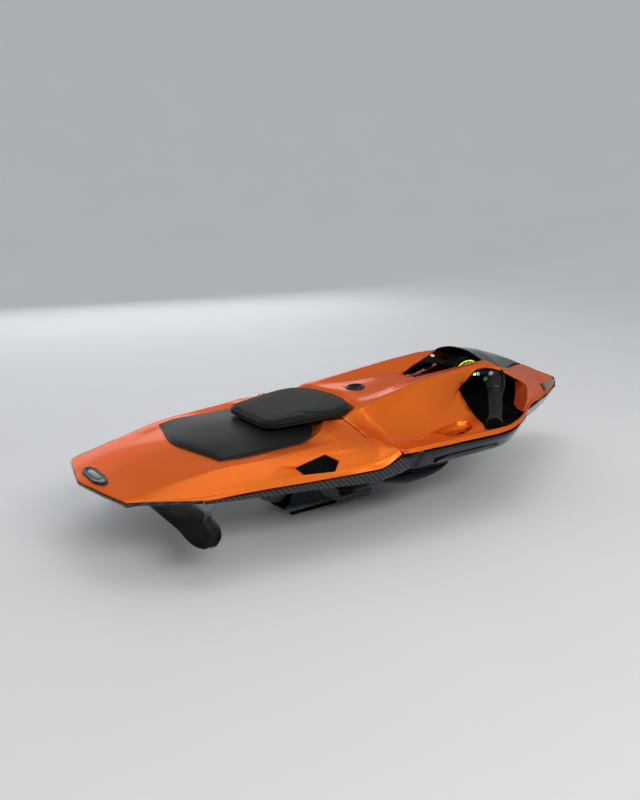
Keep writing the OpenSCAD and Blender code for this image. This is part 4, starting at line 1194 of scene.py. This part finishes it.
# inset from the outline, height over the underside
PAD_PROFILE = [(9.0, 0.0 + PAD_LIFT), (1.0, 1.2 + PAD_LIFT), (0.0, 3.5 + PAD_LIFT),
               (0.0, PAD_THICK - 6.0 + PAD_SINK), (1.2, PAD_THICK - 4.6 + PAD_SINK),
               (8.5, PAD_THICK - 1.0 + PAD_SINK), (12.0, PAD_THICK - 0.4 + PAD_SINK),
               (42.0, PAD_THICK + 0.6 + PAD_SINK)]
PAD_VOXEL, PAD_SWELL, PAD_FRAMES = 4.0, 2.0, 20


def round_outline(outline, radius, seg):
    """Closed outline with its corners rounded."""
    out = []
    n = len(outline)
    for k in range(n):
        before, corner, after = outline[k - 1], outline[k], outline[(k + 1) % n]
        a, b = unit(before - corner), unit(after - corner)
        q = min(radius, 0.4 * np.linalg.norm(before - corner),
                0.4 * np.linalg.norm(corner - after))
        start, end = corner + a * q, corner + b * q
        for i in range(seg + 1):
            t = i / seg
            out.append((1 - t) ** 2 * start + 2 * t * (1 - t) * corner + t * t * end)
    return array(out)


def lengths(path):
    """Distance along a path at each of its points."""
    return np.concatenate([[0], np.cumsum(np.linalg.norm(np.diff(path, axis=0), axis=1))])


def resample(outline, step):
    closed = np.concatenate([outline, outline[:1]])
    at = lengths(closed)
    s = np.linspace(0, at[-1], int(at[-1] / step), endpoint=False)
    return np.stack([np.interp(s, at, closed[:, k]) for k in range(2)], 1)


def pad_z(x):
    return RIM + 54.0 + (x + 312.0) * PAD_TILT


def inset(outline, distance):
    centre = array([-198.0, 0.0])
    t = unit(np.roll(outline, -1, 0) - np.roll(outline, 1, 0))
    inward = np.stack([t[:, 1], -t[:, 0]], 1)
    flip = np.sign(((centre - outline) * inward).sum(1, keepdims=True))
    return outline + inward * flip * distance


def pad_rings():
    rings = []
    for distance, height in PAD_PROFILE:
        ring = inset(pad_outline, min(distance, PAD_EDGE) + PAD_SHRINK)
        if distance > PAD_EDGE:
            centre = array([-202.0, 0.0])
            ring = centre + (ring - centre) * (1.0 - (distance - PAD_EDGE) / 90.0)
        rings.append([[x, y, pad_z(x) + height] for x, y in ring])
    return rings


def vertex_data(o, key):
    data = np.empty(len(o.data.vertices) * 3)
    o.data.vertices.foreach_get(key, data)
    return data.reshape(-1, 3)


def swell(o):
    """Inflate as cloth under inner pressure, then keep only the outward part."""
    remesh = o.modifiers.new("rm", "REMESH")
    remesh.mode = "VOXEL"
    remesh.voxel_size = PAD_VOXEL * MM
    bake(o)
    rest = vertex_data(o, "co")
    cloth = o.modifiers.new("cloth", "CLOTH")
    st = cloth.settings
    st.quality = 6
    st.mass = 0.3
    st.use_pressure = True
    st.uniform_pressure_force = 4.0
    st.tension_stiffness = st.compression_stiffness = 30
    st.shear_stiffness = 10
    st.bending_stiffness = 4
    st.effector_weights.gravity = 0
    cloth.point_cache.frame_start = 1
    cloth.point_cache.frame_end = PAD_FRAMES
    for f in range(1, PAD_FRAMES + 1):
        SCENE.frame_set(f)
    bake(o)
    out = vertex_data(o, "normal")
    outward = ((vertex_data(o, "co") - rest) * out).sum(1, keepdims=True)
    move = limited(out * np.maximum(0.0, outward), PAD_SWELL * MM)
    o.data.vertices.foreach_set("co", (rest + move).ravel())
    SCENE.frame_set(1)
    sub = o.modifiers.new("sub", "SUBSURF")
    sub.levels = sub.render_levels = 1
    bake(o)


pad_outline = array(PAD + [(x, -y) for x, y in PAD[-2:0:-1]], float)
pad_outline = resample(round_outline(pad_outline, 9.0, 4), 6.0)
pad = loft("chest_pad_skin", pad_rings(), PAD_SKIN, slot="soft_black")
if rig.quick():
    shade(pad, 40)
else:
    swell(pad)
    shade(pad, 60)
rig.replaces(pad, "chest_pad")
# seam cords along the upper bevel and the underside: name, height, radius
for name, height, radius in (("chest_pad_cord", PAD_THICK - 4.6, 0.9),
                             ("chest_pad_cord_low", 2.6, 1.0)):
    cord(name, [[x, y, pad_z(x) + height] for x, y in inset(pad_outline, 1.6)], radius,
         PIPING, "soft_black")
clone("pad_support", "pad_pedestal", LINER, "liner_black", 2.0, 3)


# ------------------------------------------------------------------ tail badge
def badge_part(name, outline, radius, step, levels, mat):
    """Plate on the sloping tail; levels are (scale of the outline, height)."""
    outline = resample(round_outline(array(outline, float), radius, 3), step)
    rings = [[[x * scale, y * scale, height] for x, y in outline] for scale, height in levels]
    return shade(loft(name, rot_y(rings, -7.2) + lift([-630, 0, 3.6]), mat, slot="bezel"), 30)


badge = badge_part(
    "tail_badge_plate",
    [(-13, -30), (-3, -52), (6, -50), (14, -28), (14, 28), (6, 50), (-3, 52), (-13, 30)],
    5.0, 2.5, ((1.05, 0.0), (1.0, 1.8), (0.93, 3.0), (0.84, 3.0), (0.81, 2.3)), DARK_METAL)
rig.replaces(badge, "badge_plate")
badge_part("tail_badge_lozenge",
           [(-5.0, -20), (0, -27), (5.0, -20), (5.0, 20), (0, 27), (-5.0, 20)],
           3.0, 2.0, ((1.0, 2.2), (1.0, 2.9), (0.86, 3.3)), GREY_METAL)

# ------------------------------------------------------------------ charge port
# (radius, height) round the port's axis
PORT_RING = [(16.4, 0.4), (16.4, 2.4), (17.0, 3.0), (19.6, 3.2), (21.0, 2.7), (21.6, 1.4),
             (21.6, -0.6), (11.0, -0.6), (11.0, -17.5), (9.3, -17.5), (9.3, 0.4)]
PORT_CAP = [(8.7, -9.8), (8.7, 1.7), (15.2, 1.7), (15.6, 2.2), (15.6, 3.2), (15.0, 3.7),
            (12.6, 3.8), (11.8, 2.9), (2.0, 2.7)]


def turned(make, name, profile, mat, body, slot):
    """Turned piece on the port's axis, made as a band or a solid."""
    rings = [at_port(circle(radius, z, 72)) for radius, z in profile]
    return shade(make(name, rings, mat, body=body, slot=slot), 30)


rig.replaces(turned(ringed, "port_ring_trim", PORT_RING, DARK_METAL, "hull", "bezel"),
            "port_ring")
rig.replaces(turned(loft, "port_cap_disc", PORT_CAP, LINER, "port_cap", "liner_black"),
            "port_cap")
bar_corners = array([(-11.4, -2.2, 0), (11.4, -2.2, 0), (11.4, 2.2, 0), (-11.4, 2.2, 0)])
cap_bar = loft("port_cap_bar", [at_port(bar_corners + [0, 0, 2.4]),
                                at_port(bar_corners * [0.94, 0.6, 1] + [0, 0, 3.9])],
               LINER, body="port_cap", slot="liner_black")
bevel(cap_bar, 0.5, angle=25)

# ------------------------------------------------------------------ visor
# rows from aft to bow, (x, y, z) from the middle outwards
VISOR = [
    [[286.5,0,139], [286.5,26,137.5], [287,50,132], [288,67,126], [289,76.8,121.2]],
    [[345,0,130], [346,25,127], [347,48,118], [348.5,61,108.5], [350,67.8,101.4]],
    [[392,0,117], [391,22,113], [389,42,103], [388,55,92.5], [387,61.8,86.6]],
    [[452,0,97], [452,12,95.3], [452,20,90], [452,26.2,83.8], [452,30,80.5]],
    [[484,0,85], [484,7,84], [484,11,81.5], [484,13.6,79], [484,15,77.2]],
    [[514.5,0,71.9], [514.5,1.4,71.8], [514.5,2.3,71.6], [514.5,3,71.4], [514.5,3.4,71.2]]]
visor_net = smoothed(lift(full(VISOR)), 6)
visor = skin("visor_shell", visor_net, pushed(visor_net, -2.6), SMOKE, slot="visor_smoke")
bevel(visor, 0.7, 3, angle=24, sharp=60)
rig.replaces(visor, "visor")
edge = pushed(visor_net, -1.2)
cord("visor_rim", np.concatenate([edge[::-1, 0], edge[0, 1:], edge[1:, -1]]), 2.4, LINER,
     "liner_black", seg=10, closed=False)

# ------------------------------------------------------------------ cockpit liner
LINER_Y = [(112, 244), (196, 244), (212, 238), (292, 192), (345, 152), (372, 130)]
# the two rows that turn up into the front wall
LINER_WALL = [[[352, 0, 8], [352, 38, 9], [350, 76, 10], [346, 118, 10], [342, 132, 12],
               [338, 142, 14]],
              [[358, 0, 70], [358, 30, 70], [356, 60, 66], [352, 92, 58], [346, 112, 52],
               [340, 126, 44]]]


def liner_row(x):
    y = lookup(x, LINER_Y)
    return [[x, 0, -12], [x, 0.3 * y, -10], [x, 0.6 * y, -6], [x, y - 14, -3], [x, y - 3, 1],
            [x, y, 8]]


liner_rows = [liner_row(x) for x in (128, 160, 196, 212, 250, 292, 330)] + LINER_WALL
liner_net = smoothed(lift(full(liner_rows)), 3, (), (7,))
liner = skin("cockpit_liner", liner_net, pushed(liner_net, -2.3), LINER, slot="liner_black")
bevel(liner, 2.0, 3, angle=30, sharp=40)
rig.replaces(liner, "cockpit_tub")

# moulded ribs on the floor of each hand bay
RIB_PITCH, RIB_AFT, RIB_FRONT, RIB_Z = 17, 205, 322, RIM - 5.5


def rib_end(x, y, slope):
    """Section at one end of a rib, its top edge set in by slope."""
    top = RIB_Z + 4.0
    return [[x, y - 2.4, RIB_Z], [x, y + 2.4, RIB_Z], [x + slope, y + 1.4, top],
            [x + slope, y - 1.4, top]]


ribs = []
for side in (1, -1):
    for k in range(5):
        y = side * (112 + RIB_PITCH * k)
        ends = [rib_end(RIB_AFT, y, 3), rib_end(RIB_FRONT - RIB_PITCH * k * 0.95, y, -3)]
        ribs.append(loft("rib%d%d" % (k, side + 1), ends, LINER))
bevel(joined("hand_bay_ribs", ribs, "liner_black"), 0.5, 1, angle=30)

# ------------------------------------------------------------------ console and gauge
clone("console", "console_moulding", CONSOLE, "liner_black", 1.0, angle=40, sharp=40)
clone("gauge_bezel", "gauge_bezel_ring", DARK_METAL, "bezel", 0.8, 3, angle=40)
clone("gauge_screen", "gauge_glass", DIAL_FACE, "screen", 0.3, angle=40)
GAUGE_CENTRE = lift([322, 0, 84.0])
TICKS, TICK_START, TICK_SWEEP = 33, -150, 300       # degrees


def dial(points):
    """Points on the dial, z off its face, to the floor frame."""
    return rot_y(points, -38) + GAUGE_CENTRE


def tick(k):
    a = math.radians(TICK_START + TICK_SWEEP * k / (TICKS - 1))
    inner, half = (17.2, 0.55) if k % 4 == 0 else (18.9, 0.32)
    out = array([math.cos(a), math.sin(a), 0])
    across = array([-math.sin(a), math.cos(a), 0]) * half
    corners = ((1, 2.0), (1, 2.6), (-1, 2.6), (-1, 2.0))
    ends = [dial([out * r + across * sign + [0, 0, z] for sign, z in corners])
            for r in (inner, 21.3)]
    return loft("tick%d" % k, ends, DIAL_TICK)


def needle_end(x, low, high, top):
    """Section of the needle: half width at its foot and at its top."""
    return dial([[x, -low, 2.3], [x, low, 2.3], [x, high, top], [x, -high, top]])


cord("gauge_ring_outer", dial(circle(23.2, 2.3, 72)), 0.9, DIAL_RING, "screen")
cord("gauge_ring_inner", dial(circle(12.6, 2.3, 72)), 0.45, DIAL_TICK, "screen", seg=6)
joined("gauge_ticks", [tick(k) for k in range(TICKS)], "screen")
loft("gauge_needle", [needle_end(-4, 1.2, 0.8, 3.4), needle_end(17, 0.35, 0.25, 2.9)],
     DIAL_RING, slot="screen")
HUB = ((3.6, 2.2), (3.6, 3.6), (2.8, 4.3), (1.2, 4.5))      # radius, height
shade(loft("gauge_hub", [dial(circle(radius, z, 24)) for radius, z in HUB], DARK_METAL,
           slot="bezel"), 40)


def arm_lights(side, name):
    """Small lights on a console arm: three rising bars and a ring."""
    origin = lift([250.0, side * 90.5, 95.0])
    along = unit(array([1.0, side * 0.05, -0.10]))
    upward = unit(array([0.0, side * -0.35, 0.94]))
    out = unit(np.cross(along, upward))
    if out[1] * side < 0:
        out = -out
    bars = []
    for k, height in enumerate((3.0, 4.5, 6.0)):
        foot = [origin + along * (k * 3.2 + a * 1.9) + upward * (b * height - 3)
                for a, b in ((0, 0), (1, 0), (1, 1), (0, 1))]
        bars.append(loft("bar%d" % k, [foot, [p + out * 1.2 for p in foot]], ICON_WHITE))
    joined("arm_light_bars_" + name, bars, "screen")
    centre = origin + along * 16 + upward * 0.5 + out * 0.8
    ring = [centre + (along * math.cos(a) + upward * math.sin(a)) * 3.2 for a in turns(28)]
    cord("arm_light_ring_" + name, ring, 0.7, ICON_GREEN, "screen")


for side, name in SIDES:
    arm_lights(side, name)

# ------------------------------------------------------------------ hand grips
# centre line of the right grip, from its head down to its foot
GRIP = array([(292, -116, 82), (268, -142, 66), (216, -196, 38), (176, -232, 20)], float)
GRIP_HEAD = lift(GRIP[0])
HEAD_RADIUS = 19.8
grip_line = curve(GRIP, 12)
grip_at = lengths(grip_line)
GRIP_END = grip_at[-1]
# distance along the centre line, radius
GRIP_PROFILE = [(18, 17.2), (30, 16.4), (38, 15.3), (44, 14.4), (50, 14.3), (62, 15.4),
                (72, 15.9), (84, 15.2), (96, 15.6), (108, 15.9), (120, 15.2), (134, 14.8),
                (150, 14.9), (GRIP_END - 6, 15.0), (GRIP_END, 15.6)]
# centre on the head's button face, height of the collar's rim
BUTTONS = [((-6, 9), 16.9), ((6, -5), 18.4)]
GUARD = [(300, -132, 108), (310, -128, 92), (306, -134, 70), (288, -146, 52), (262, -168, 40)]
GUARD_RADIUS = [(0, 1.5), (4, 5.0), (16, 6.0), (28, 4.5), (32, 1.5)]    # point number, radius


def on_grip(distance):
    return lift([np.interp(distance, grip_at, grip_line[:, k]) for k in range(3)])


def button_disc(centre, radius, z):
    return rot_y(rot_z(circle(radius, z, 40, centre), 20), -58) + GRIP_HEAD


def grip_head():
    """Ball at the top of the grip, slightly drawn out towards the bar."""
    axis = unit(GRIP[1] - GRIP[0])
    u = unit(np.cross(axis, array([0, 0, 1.0])))
    v = np.cross(axis, u)
    rings = []
    for k in range(1, 25):
        a = math.pi * k / 25
        along, radius = -math.cos(a) * HEAD_RADIUS, math.sin(a) * HEAD_RADIUS
        stretch = 1.0 if along < 0 else 1.08
        rings.append([GRIP_HEAD + axis * along * stretch
                      + (u * math.cos(t) + v * math.sin(t)) * radius for t in turns(40)])
    return loft("grip_bar_right_head", rings, GRIP_RUBBER, slot="grip_rubber")


def collar(k):
    centre, h = BUTTONS[k]
    profile = ((8.0, h - 2.5), (8.0, h - 0.4), (7.4, h + 0.3), (6.3, h + 0.3), (5.9, h - 0.2),
               (5.9, h - 2.5))
    return ringed("col%d" % k, [button_disc(centre, r, z) for r, z in profile], DARK_METAL)


def grip_sleeve(name, stations, radii, mat, slot):
    """Short ring round the bar."""
    path = [on_grip(distance) for distance in stations]
    return shade(tube(name, path, radii, mat, seg=36, slot=slot), 30)


def finger_ridge(distance):
    """Ridge part of the way round the front of the bar."""
    p, t = on_grip(distance), unit(on_grip(distance + 1) - on_grip(distance - 1))
    front = array([0.75, 0.25, -0.1])
    front = unit(front - t * (front @ t))
    across = np.cross(t, front)
    path = [p + (front * math.cos(a) + across * math.sin(a)) * 15.6
            for a in np.linspace(-1.9, 1.9, 25)]
    radii = [0.3 + 0.9 * math.sin(math.pi * (k + 0.5) / 25) for k in range(25)]
    return tube("rid%d" % distance, path, radii, GRIP_RUBBER, seg=8)


bar_at = np.linspace(18, GRIP_END, 70)
bar = tube("grip_bar_right", [on_grip(s) for s in bar_at],
           [lookup(s, GRIP_PROFILE) for s in bar_at], GRIP_RUBBER, seg=36, slot="grip_rubber")
head = grip_head()
for centre, _ in BUTTONS:
    cut(head, [button_disc(centre, 5.85, 11.0), button_disc(centre, 5.85, 32.0)])
bevel(head, 0.5, angle=35, sharp=40)
shade(bar, 50)
collars = joined("grip_button_collars_right", [collar(0), collar(1)], "bezel")
shade(collars, 40)
neck = grip_sleeve("grip_neck_ring_right", (39.5, 41, 45, 46.5), [15.2, 16.4, 16.4, 15.2],
                   DARK_METAL, "bezel")
foot = grip_sleeve("grip_foot_right", [GRIP_END - d for d in (16, 13, 4, 0)],
                   [15.3, 17.6, 18.6, 18.6], CONSOLE, "liner_black")
ridges = joined("grip_ridges_right", [finger_ridge(s) for s in (66, 78, 90, 102, 114, 126)],
                "grip_rubber")
shade(ridges, 60)
# curved guard beside the grip head
guard_path = curve(lift(GUARD), 8)
guard = tube("grip_guard_right", guard_path,
             [lookup(k, GUARD_RADIUS) for k in range(len(guard_path))], CONSOLE, seg=16,
             squash=0.45, slot="liner_black")
shade(guard, 50)
head.name = "grip_head_right"
for piece in (bar, head, collars, neck, foot, ridges, guard):
    left = left_twin(piece, "grip_rubber")
    if piece == bar:
        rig.replaces(left, "grip_left")
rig.replaces(bar, "grip_right")
for kind, mat, slot in (("speed", BUTTON_GREEN, "button_green"),
                        ("boost", BUTTON_GREY, "button_grey")):
    for _, side_name in SIDES:
        node = kind + "_button_" + side_name
        clone(node, node + "_cap", mat, slot, 1.0, 3, angle=40, sharp=40, body=node)

# ------------------------------------------------------------------ rear wing
# foil section: share of the chord, share of the thickness, back over the top and under
FOIL = [(1, 0.02), (0.9, 0.17), (0.8, 0.30), (0.68, 0.39), (0.55, 0.45), (0.42, 0.49),
        (0.3, 0.5), (0.2, 0.47), (0.12, 0.40), (0.06, 0.30), (0.02, 0.17), (0, 0),
        (0.02, -0.15), (0.06, -0.26), (0.12, -0.34), (0.2, -0.385), (0.3, -0.40),
        (0.42, -0.385), (0.55, -0.34), (0.68, -0.28), (0.8, -0.2), (0.9, -0.11), (1, -0.02)]
# left half: y, x of the leading edge, scale of the chord
WING = [(0, -450, 1), (45, -450.6, 0.998), (90, -452, 0.99), (140, -458, 0.93),
        (177, -468, 0.86), (208, -484, 0.66), (224, -498, 0.43), (232, -506, 0.27)]
WING_CHORD, WING_THICK, WING_Z = 78.0, 8, RIM - 80.0


def wing_section(y, x, scale):
    chord, thick = WING_CHORD * scale, WING_THICK * (0.35 + 0.65 * scale)
    return [[x - along * chord, y, WING_Z + up * thick] for along, up in FOIL]


half_wing = curve(WING, 5)
stations = np.concatenate([half_wing[:0:-1] * [-1, 1, 1], half_wing])
wing = loft("rear_wing_foil", [wing_section(*s) for s in stations], CARBON_WING, slot="carbon")
shade(wing, 45)
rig.replaces(wing, "rear_wing")
# edging along the wing's outline
leading = [[x + 0.6, y, WING_Z] for y, x, scale in stations]
trailing = [[x - WING_CHORD * scale, y, WING_Z] for y, x, scale in stations]
cord("wing_edge", leading + trailing[::-1], 0.9, GREY_METAL, "grey_metal", seg=6)
for _, name in SIDES:
    clone("wing_strut_" + name, "wing_strut_foil_" + name, GREY_METAL, "grey_metal", 0.5,
          angle=35, sharp=40)
clone("wing_screws", "wing_screw_heads", STEEL, "steel", 0.4, angle=40)

# ------------------------------------------------------------------ keel fins, runners, skids
for _, name in SIDES:
    clone("keel_fin_" + name, "keel_fin_blade_" + name, CARBON_SIDE, "carbon", 1.4, 3, angle=30)
clone("keel_runners", "keel_runner_pair", GRIP_RUBBER, "grip_rubber", 1.6, 3, angle=20)
# right skid: (x, z) and (x, y) of its axis; x, half width, depth of its sections
SKID_Z = [(-158, -40), (-70, -55), (0, -52), (62, -43)]
SKID_Y = [(-158, -212), (-70, -212), (62, -214)]
SKID = [(-148, 7, 3.5), (-128, 14, 7), (-70, 22, 11), (-10, 21, 11), (40, 12, 6), (62, 1, 1)]


def skid_ring(x, half, depth):
    """Oval section, flatter above its axis."""
    y, z = lookup(x, SKID_Y), lookup(x, SKID_Z)
    return [[x, y + half * math.cos(a),
             RIM + z + depth * (0.35 if math.sin(a) > 0 else 1) * math.sin(a)]
            for a in turns(28)]


skid = loft("side_skid_shoe_right",
            [skid_ring(x, max(0.8, half), max(0.8, depth)) for x, half, depth in curve(SKID, 6)],
            SKID_PLASTIC, slot="grip_rubber")
# the shoe follows the hull it sits on
cut(skid, lift(full([hull_row(x) for x in HULL_X[:7]])) * [1, 1.002, 1] - [0, 0, 0.3])
bevel(skid, 0.8, angle=40, sharp=50)
twins(skid, "grip_rubber", "side_skid")

# ------------------------------------------------------------------ jet drive and underside
clone("jet_fairing", "jet_pod_fairing", HULL_BLACK, "hull_black", 1.6, 3, angle=15, sharp=30)
clone("transom_plate", "transom_bulkhead", HULL_BLACK, "hull_black", 0.7)
clone("transom_screws", "transom_screw_heads", STEEL, "steel", 0.5, angle=40)
clone("intake_grille", "intake_grille_bars", GREY_METAL, "grey_metal", 0.8)
clone("nozzle", "jet_nozzle", GREY_METAL, "grey_metal", 0.5, angle=35, sharp=40)
clone("stator", "jet_stator", GREY_METAL, "grey_metal", 0.4, angle=40)
clone("hull_gasket", "hull_seal_strip", SEAL, "seal", 0.15, 1)
clone("impeller", "jet_impeller", BRONZE, "bronze", 0.4, angle=40, body="rotor")

# ------------------------------------------------------------------ CAD node materials
INNER_PARTS = {
    "port_seal": SEAL, "jet_duct": GREY_METAL, "drive_shaft": STEEL, "shaft_seal": SEAL,
    "shaft_bearings": STEEL, "motor_housing": GREY_METAL, "motor_rotor": COPPER,
    "motor_mount": GREY_METAL, "battery_pack": BATTERY, "battery_tray": GREY_METAL,
    "control_unit": DARK_METAL}
BY_SLOT = {"orange": ORANGE, "hull_black": HULL_BLACK, "carbon": CARBON_SIDE, "lens": LENS,
           "liner_black": LINER, "grey_metal": GREY_METAL}


def repaint(me, mat):
    for k in range(len(me.materials)):
        me.materials[k] = mat


for name, mat in INNER_PARTS.items():
    me = NODES[name].data
    if len(me.materials) == 0:
        me.materials.append(mat)
    repaint(me, mat)
for name, o in NODES.items():
    if name not in INNER_PARTS:
        slot = [s["material_slot"] for s in frame["record"]["subparts"] if s["node"] == name][0]
        repaint(o.data, BY_SLOT.get(slot, LINER))


# ------------------------------------------------------------------ tidy
def tidy(o):
    """Where welding leaves faces on the same corners, delete them in pairs."""
    bm = bmesh.new()
    bm.from_mesh(o.data)
    bmesh.ops.triangulate(bm, faces=bm.faces)
    bmesh.ops.remove_doubles(bm, verts=bm.verts, dist=1.5e-6)
    bmesh.ops.dissolve_degenerate(bm, edges=bm.edges, dist=1.5e-6)
    bmesh.ops.triangulate(bm, faces=bm.faces)
    seen = {}
    for f in bm.faces:
        seen.setdefault(tuple(sorted(v.index for v in f.verts)), []).append(f)
    doubled = [f for g in seen.values() if len(g) > 1 for f in g[:len(g) - len(g) % 2]]
    if doubled:
        bmesh.ops.delete(bm, geom=doubled, context="FACES_ONLY")
        bare = [e for e in bm.edges if not e.link_faces]
        bmesh.ops.delete(bm, geom=bare, context="EDGES")
        loose = [v for v in bm.verts if not v.link_faces]
        bmesh.ops.delete(bm, geom=loose, context="VERTS")
        bm.to_mesh(o.data)
        o.data.update()
    bm.free()


for o in list(SCENE.objects):
    if o.type == "MESH" and o.name not in CAD_NAMES:
        tidy(o)

# ------------------------------------------------------------------ floor, light, camera, metres
FLOOR_SEG, FLOOR_Z = 72, -0.0004
FLOOR_FLAT, FLOOR_CURVE = 3.2, 4.0      # radius of the flat part, radius of the upturn


def make_floor():
    """Round floor that curves up into a wall."""
    sh = Shader("studio_floor")
    stops = [(0.3, (0.86, 0.865, 0.87)), (0.7, (0.88, 0.885, 0.89))]
    sh.surface(Base_Color=sh.ramp(sh.noise(2.0, detail=2.0), stops), Roughness=0.75)
    profile = [(0.8, 0.0), (2.0, 0.0), (FLOOR_FLAT, 0.0)]
    profile += [(FLOOR_FLAT + FLOOR_CURVE * math.sin(a), FLOOR_CURVE - FLOOR_CURVE * math.cos(a))
                for a in np.linspace(0.08, math.pi / 2, 22)]
    profile.append((FLOOR_FLAT + FLOOR_CURVE, 5.0))
    n = FLOOR_SEG
    verts = [(0.0, 0.0, FLOOR_Z)]
    for radius, height in profile:
        for k in range(n):
            a = 2 * math.pi * k / n
            verts.append((radius * math.cos(a), radius * math.sin(a), height + FLOOR_Z))
    faces = [(0, 1 + k, 1 + (k + 1) % n) for k in range(n)]
    for r in range(len(profile) - 1):
        for k in range(n):
            a, b = 1 + r * n + k, 1 + r * n + (k + 1) % n
            faces.append((a, a + n, b + n, b))
    me = bpy.data.meshes.new("floor")
    me.from_pydata(verts, [], faces)
    for p in me.polygons:
        p.use_smooth = True
    floor = bpy.data.objects.new("floor", me)
    SCENE.collection.objects.link(floor)
    me.materials.append(sh.material)
    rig.stage(floor)


def area(name, place, target, size, power, colour):
    """Rectangular light aimed at a target; size is (width, height)."""
    light = bpy.data.lights.new(name, "AREA")
    light.shape = "RECTANGLE"
    light.size, light.size_y = size
    light.energy = power
    light.color = colour
    o = bpy.data.objects.new(name, light)
    SCENE.collection.objects.link(o)
    o.location = place
    aim = Vector(target) - Vector(place)
    o.rotation_euler = aim.to_track_quat("-Z", "Y").to_euler()


make_floor()
world = bpy.data.worlds.new("studio")
SCENE.world = world
world.use_nodes = True
background = world.node_tree.nodes["Background"]
background.inputs["Color"].default_value = (0.93, 0.96, 1.0, 1)
background.inputs["Strength"].default_value = 0.50
area("key", place=(-0.3, -2.5, 1.9), target=(0, 0, 0.2), size=(2.2, 0.8), power=31,
     colour=(1.0, 0.97, 0.93))
area("top", place=(0.2, 0.2, 3.0), target=(0, 0, 0.2), size=(2.2, 1.2), power=9,
     colour=(0.98, 0.99, 1.0))
area("rim", place=(0.6, 3.0, 0.9), target=(0, 0, 0.25), size=(3.0, 0.7), power=14,
     colour=(0.96, 0.98, 1.0))

# camera axes and place
CAM_RIGHT, CAM_UP = (0.8175, -0.5759, 0.0034), (0.1491, 0.2172, 0.9647)
CAM_BACK, CAM_PLACE = (-0.5563, -0.7881, 0.2635), (-1.0672, -1.3361, 0.6674)
camera_data = bpy.data.cameras.new("camera")
camera = bpy.data.objects.new("camera", camera_data)
SCENE.collection.objects.link(camera)
camera_data.lens = 35.1
camera_data.sensor_width = 36
camera.matrix_world = Matrix((*zip(CAM_RIGHT, CAM_UP, CAM_BACK, CAM_PLACE), (0, 0, 0, 1)))
SCENE.camera = camera
SCENE.view_settings.view_transform = "Standard"

lo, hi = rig.bounds()
with open("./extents.json", "w") as f:
    json.dump({"cad": [CAD_LO, CAD_HI], "visual": [list(lo), list(hi)]}, f)
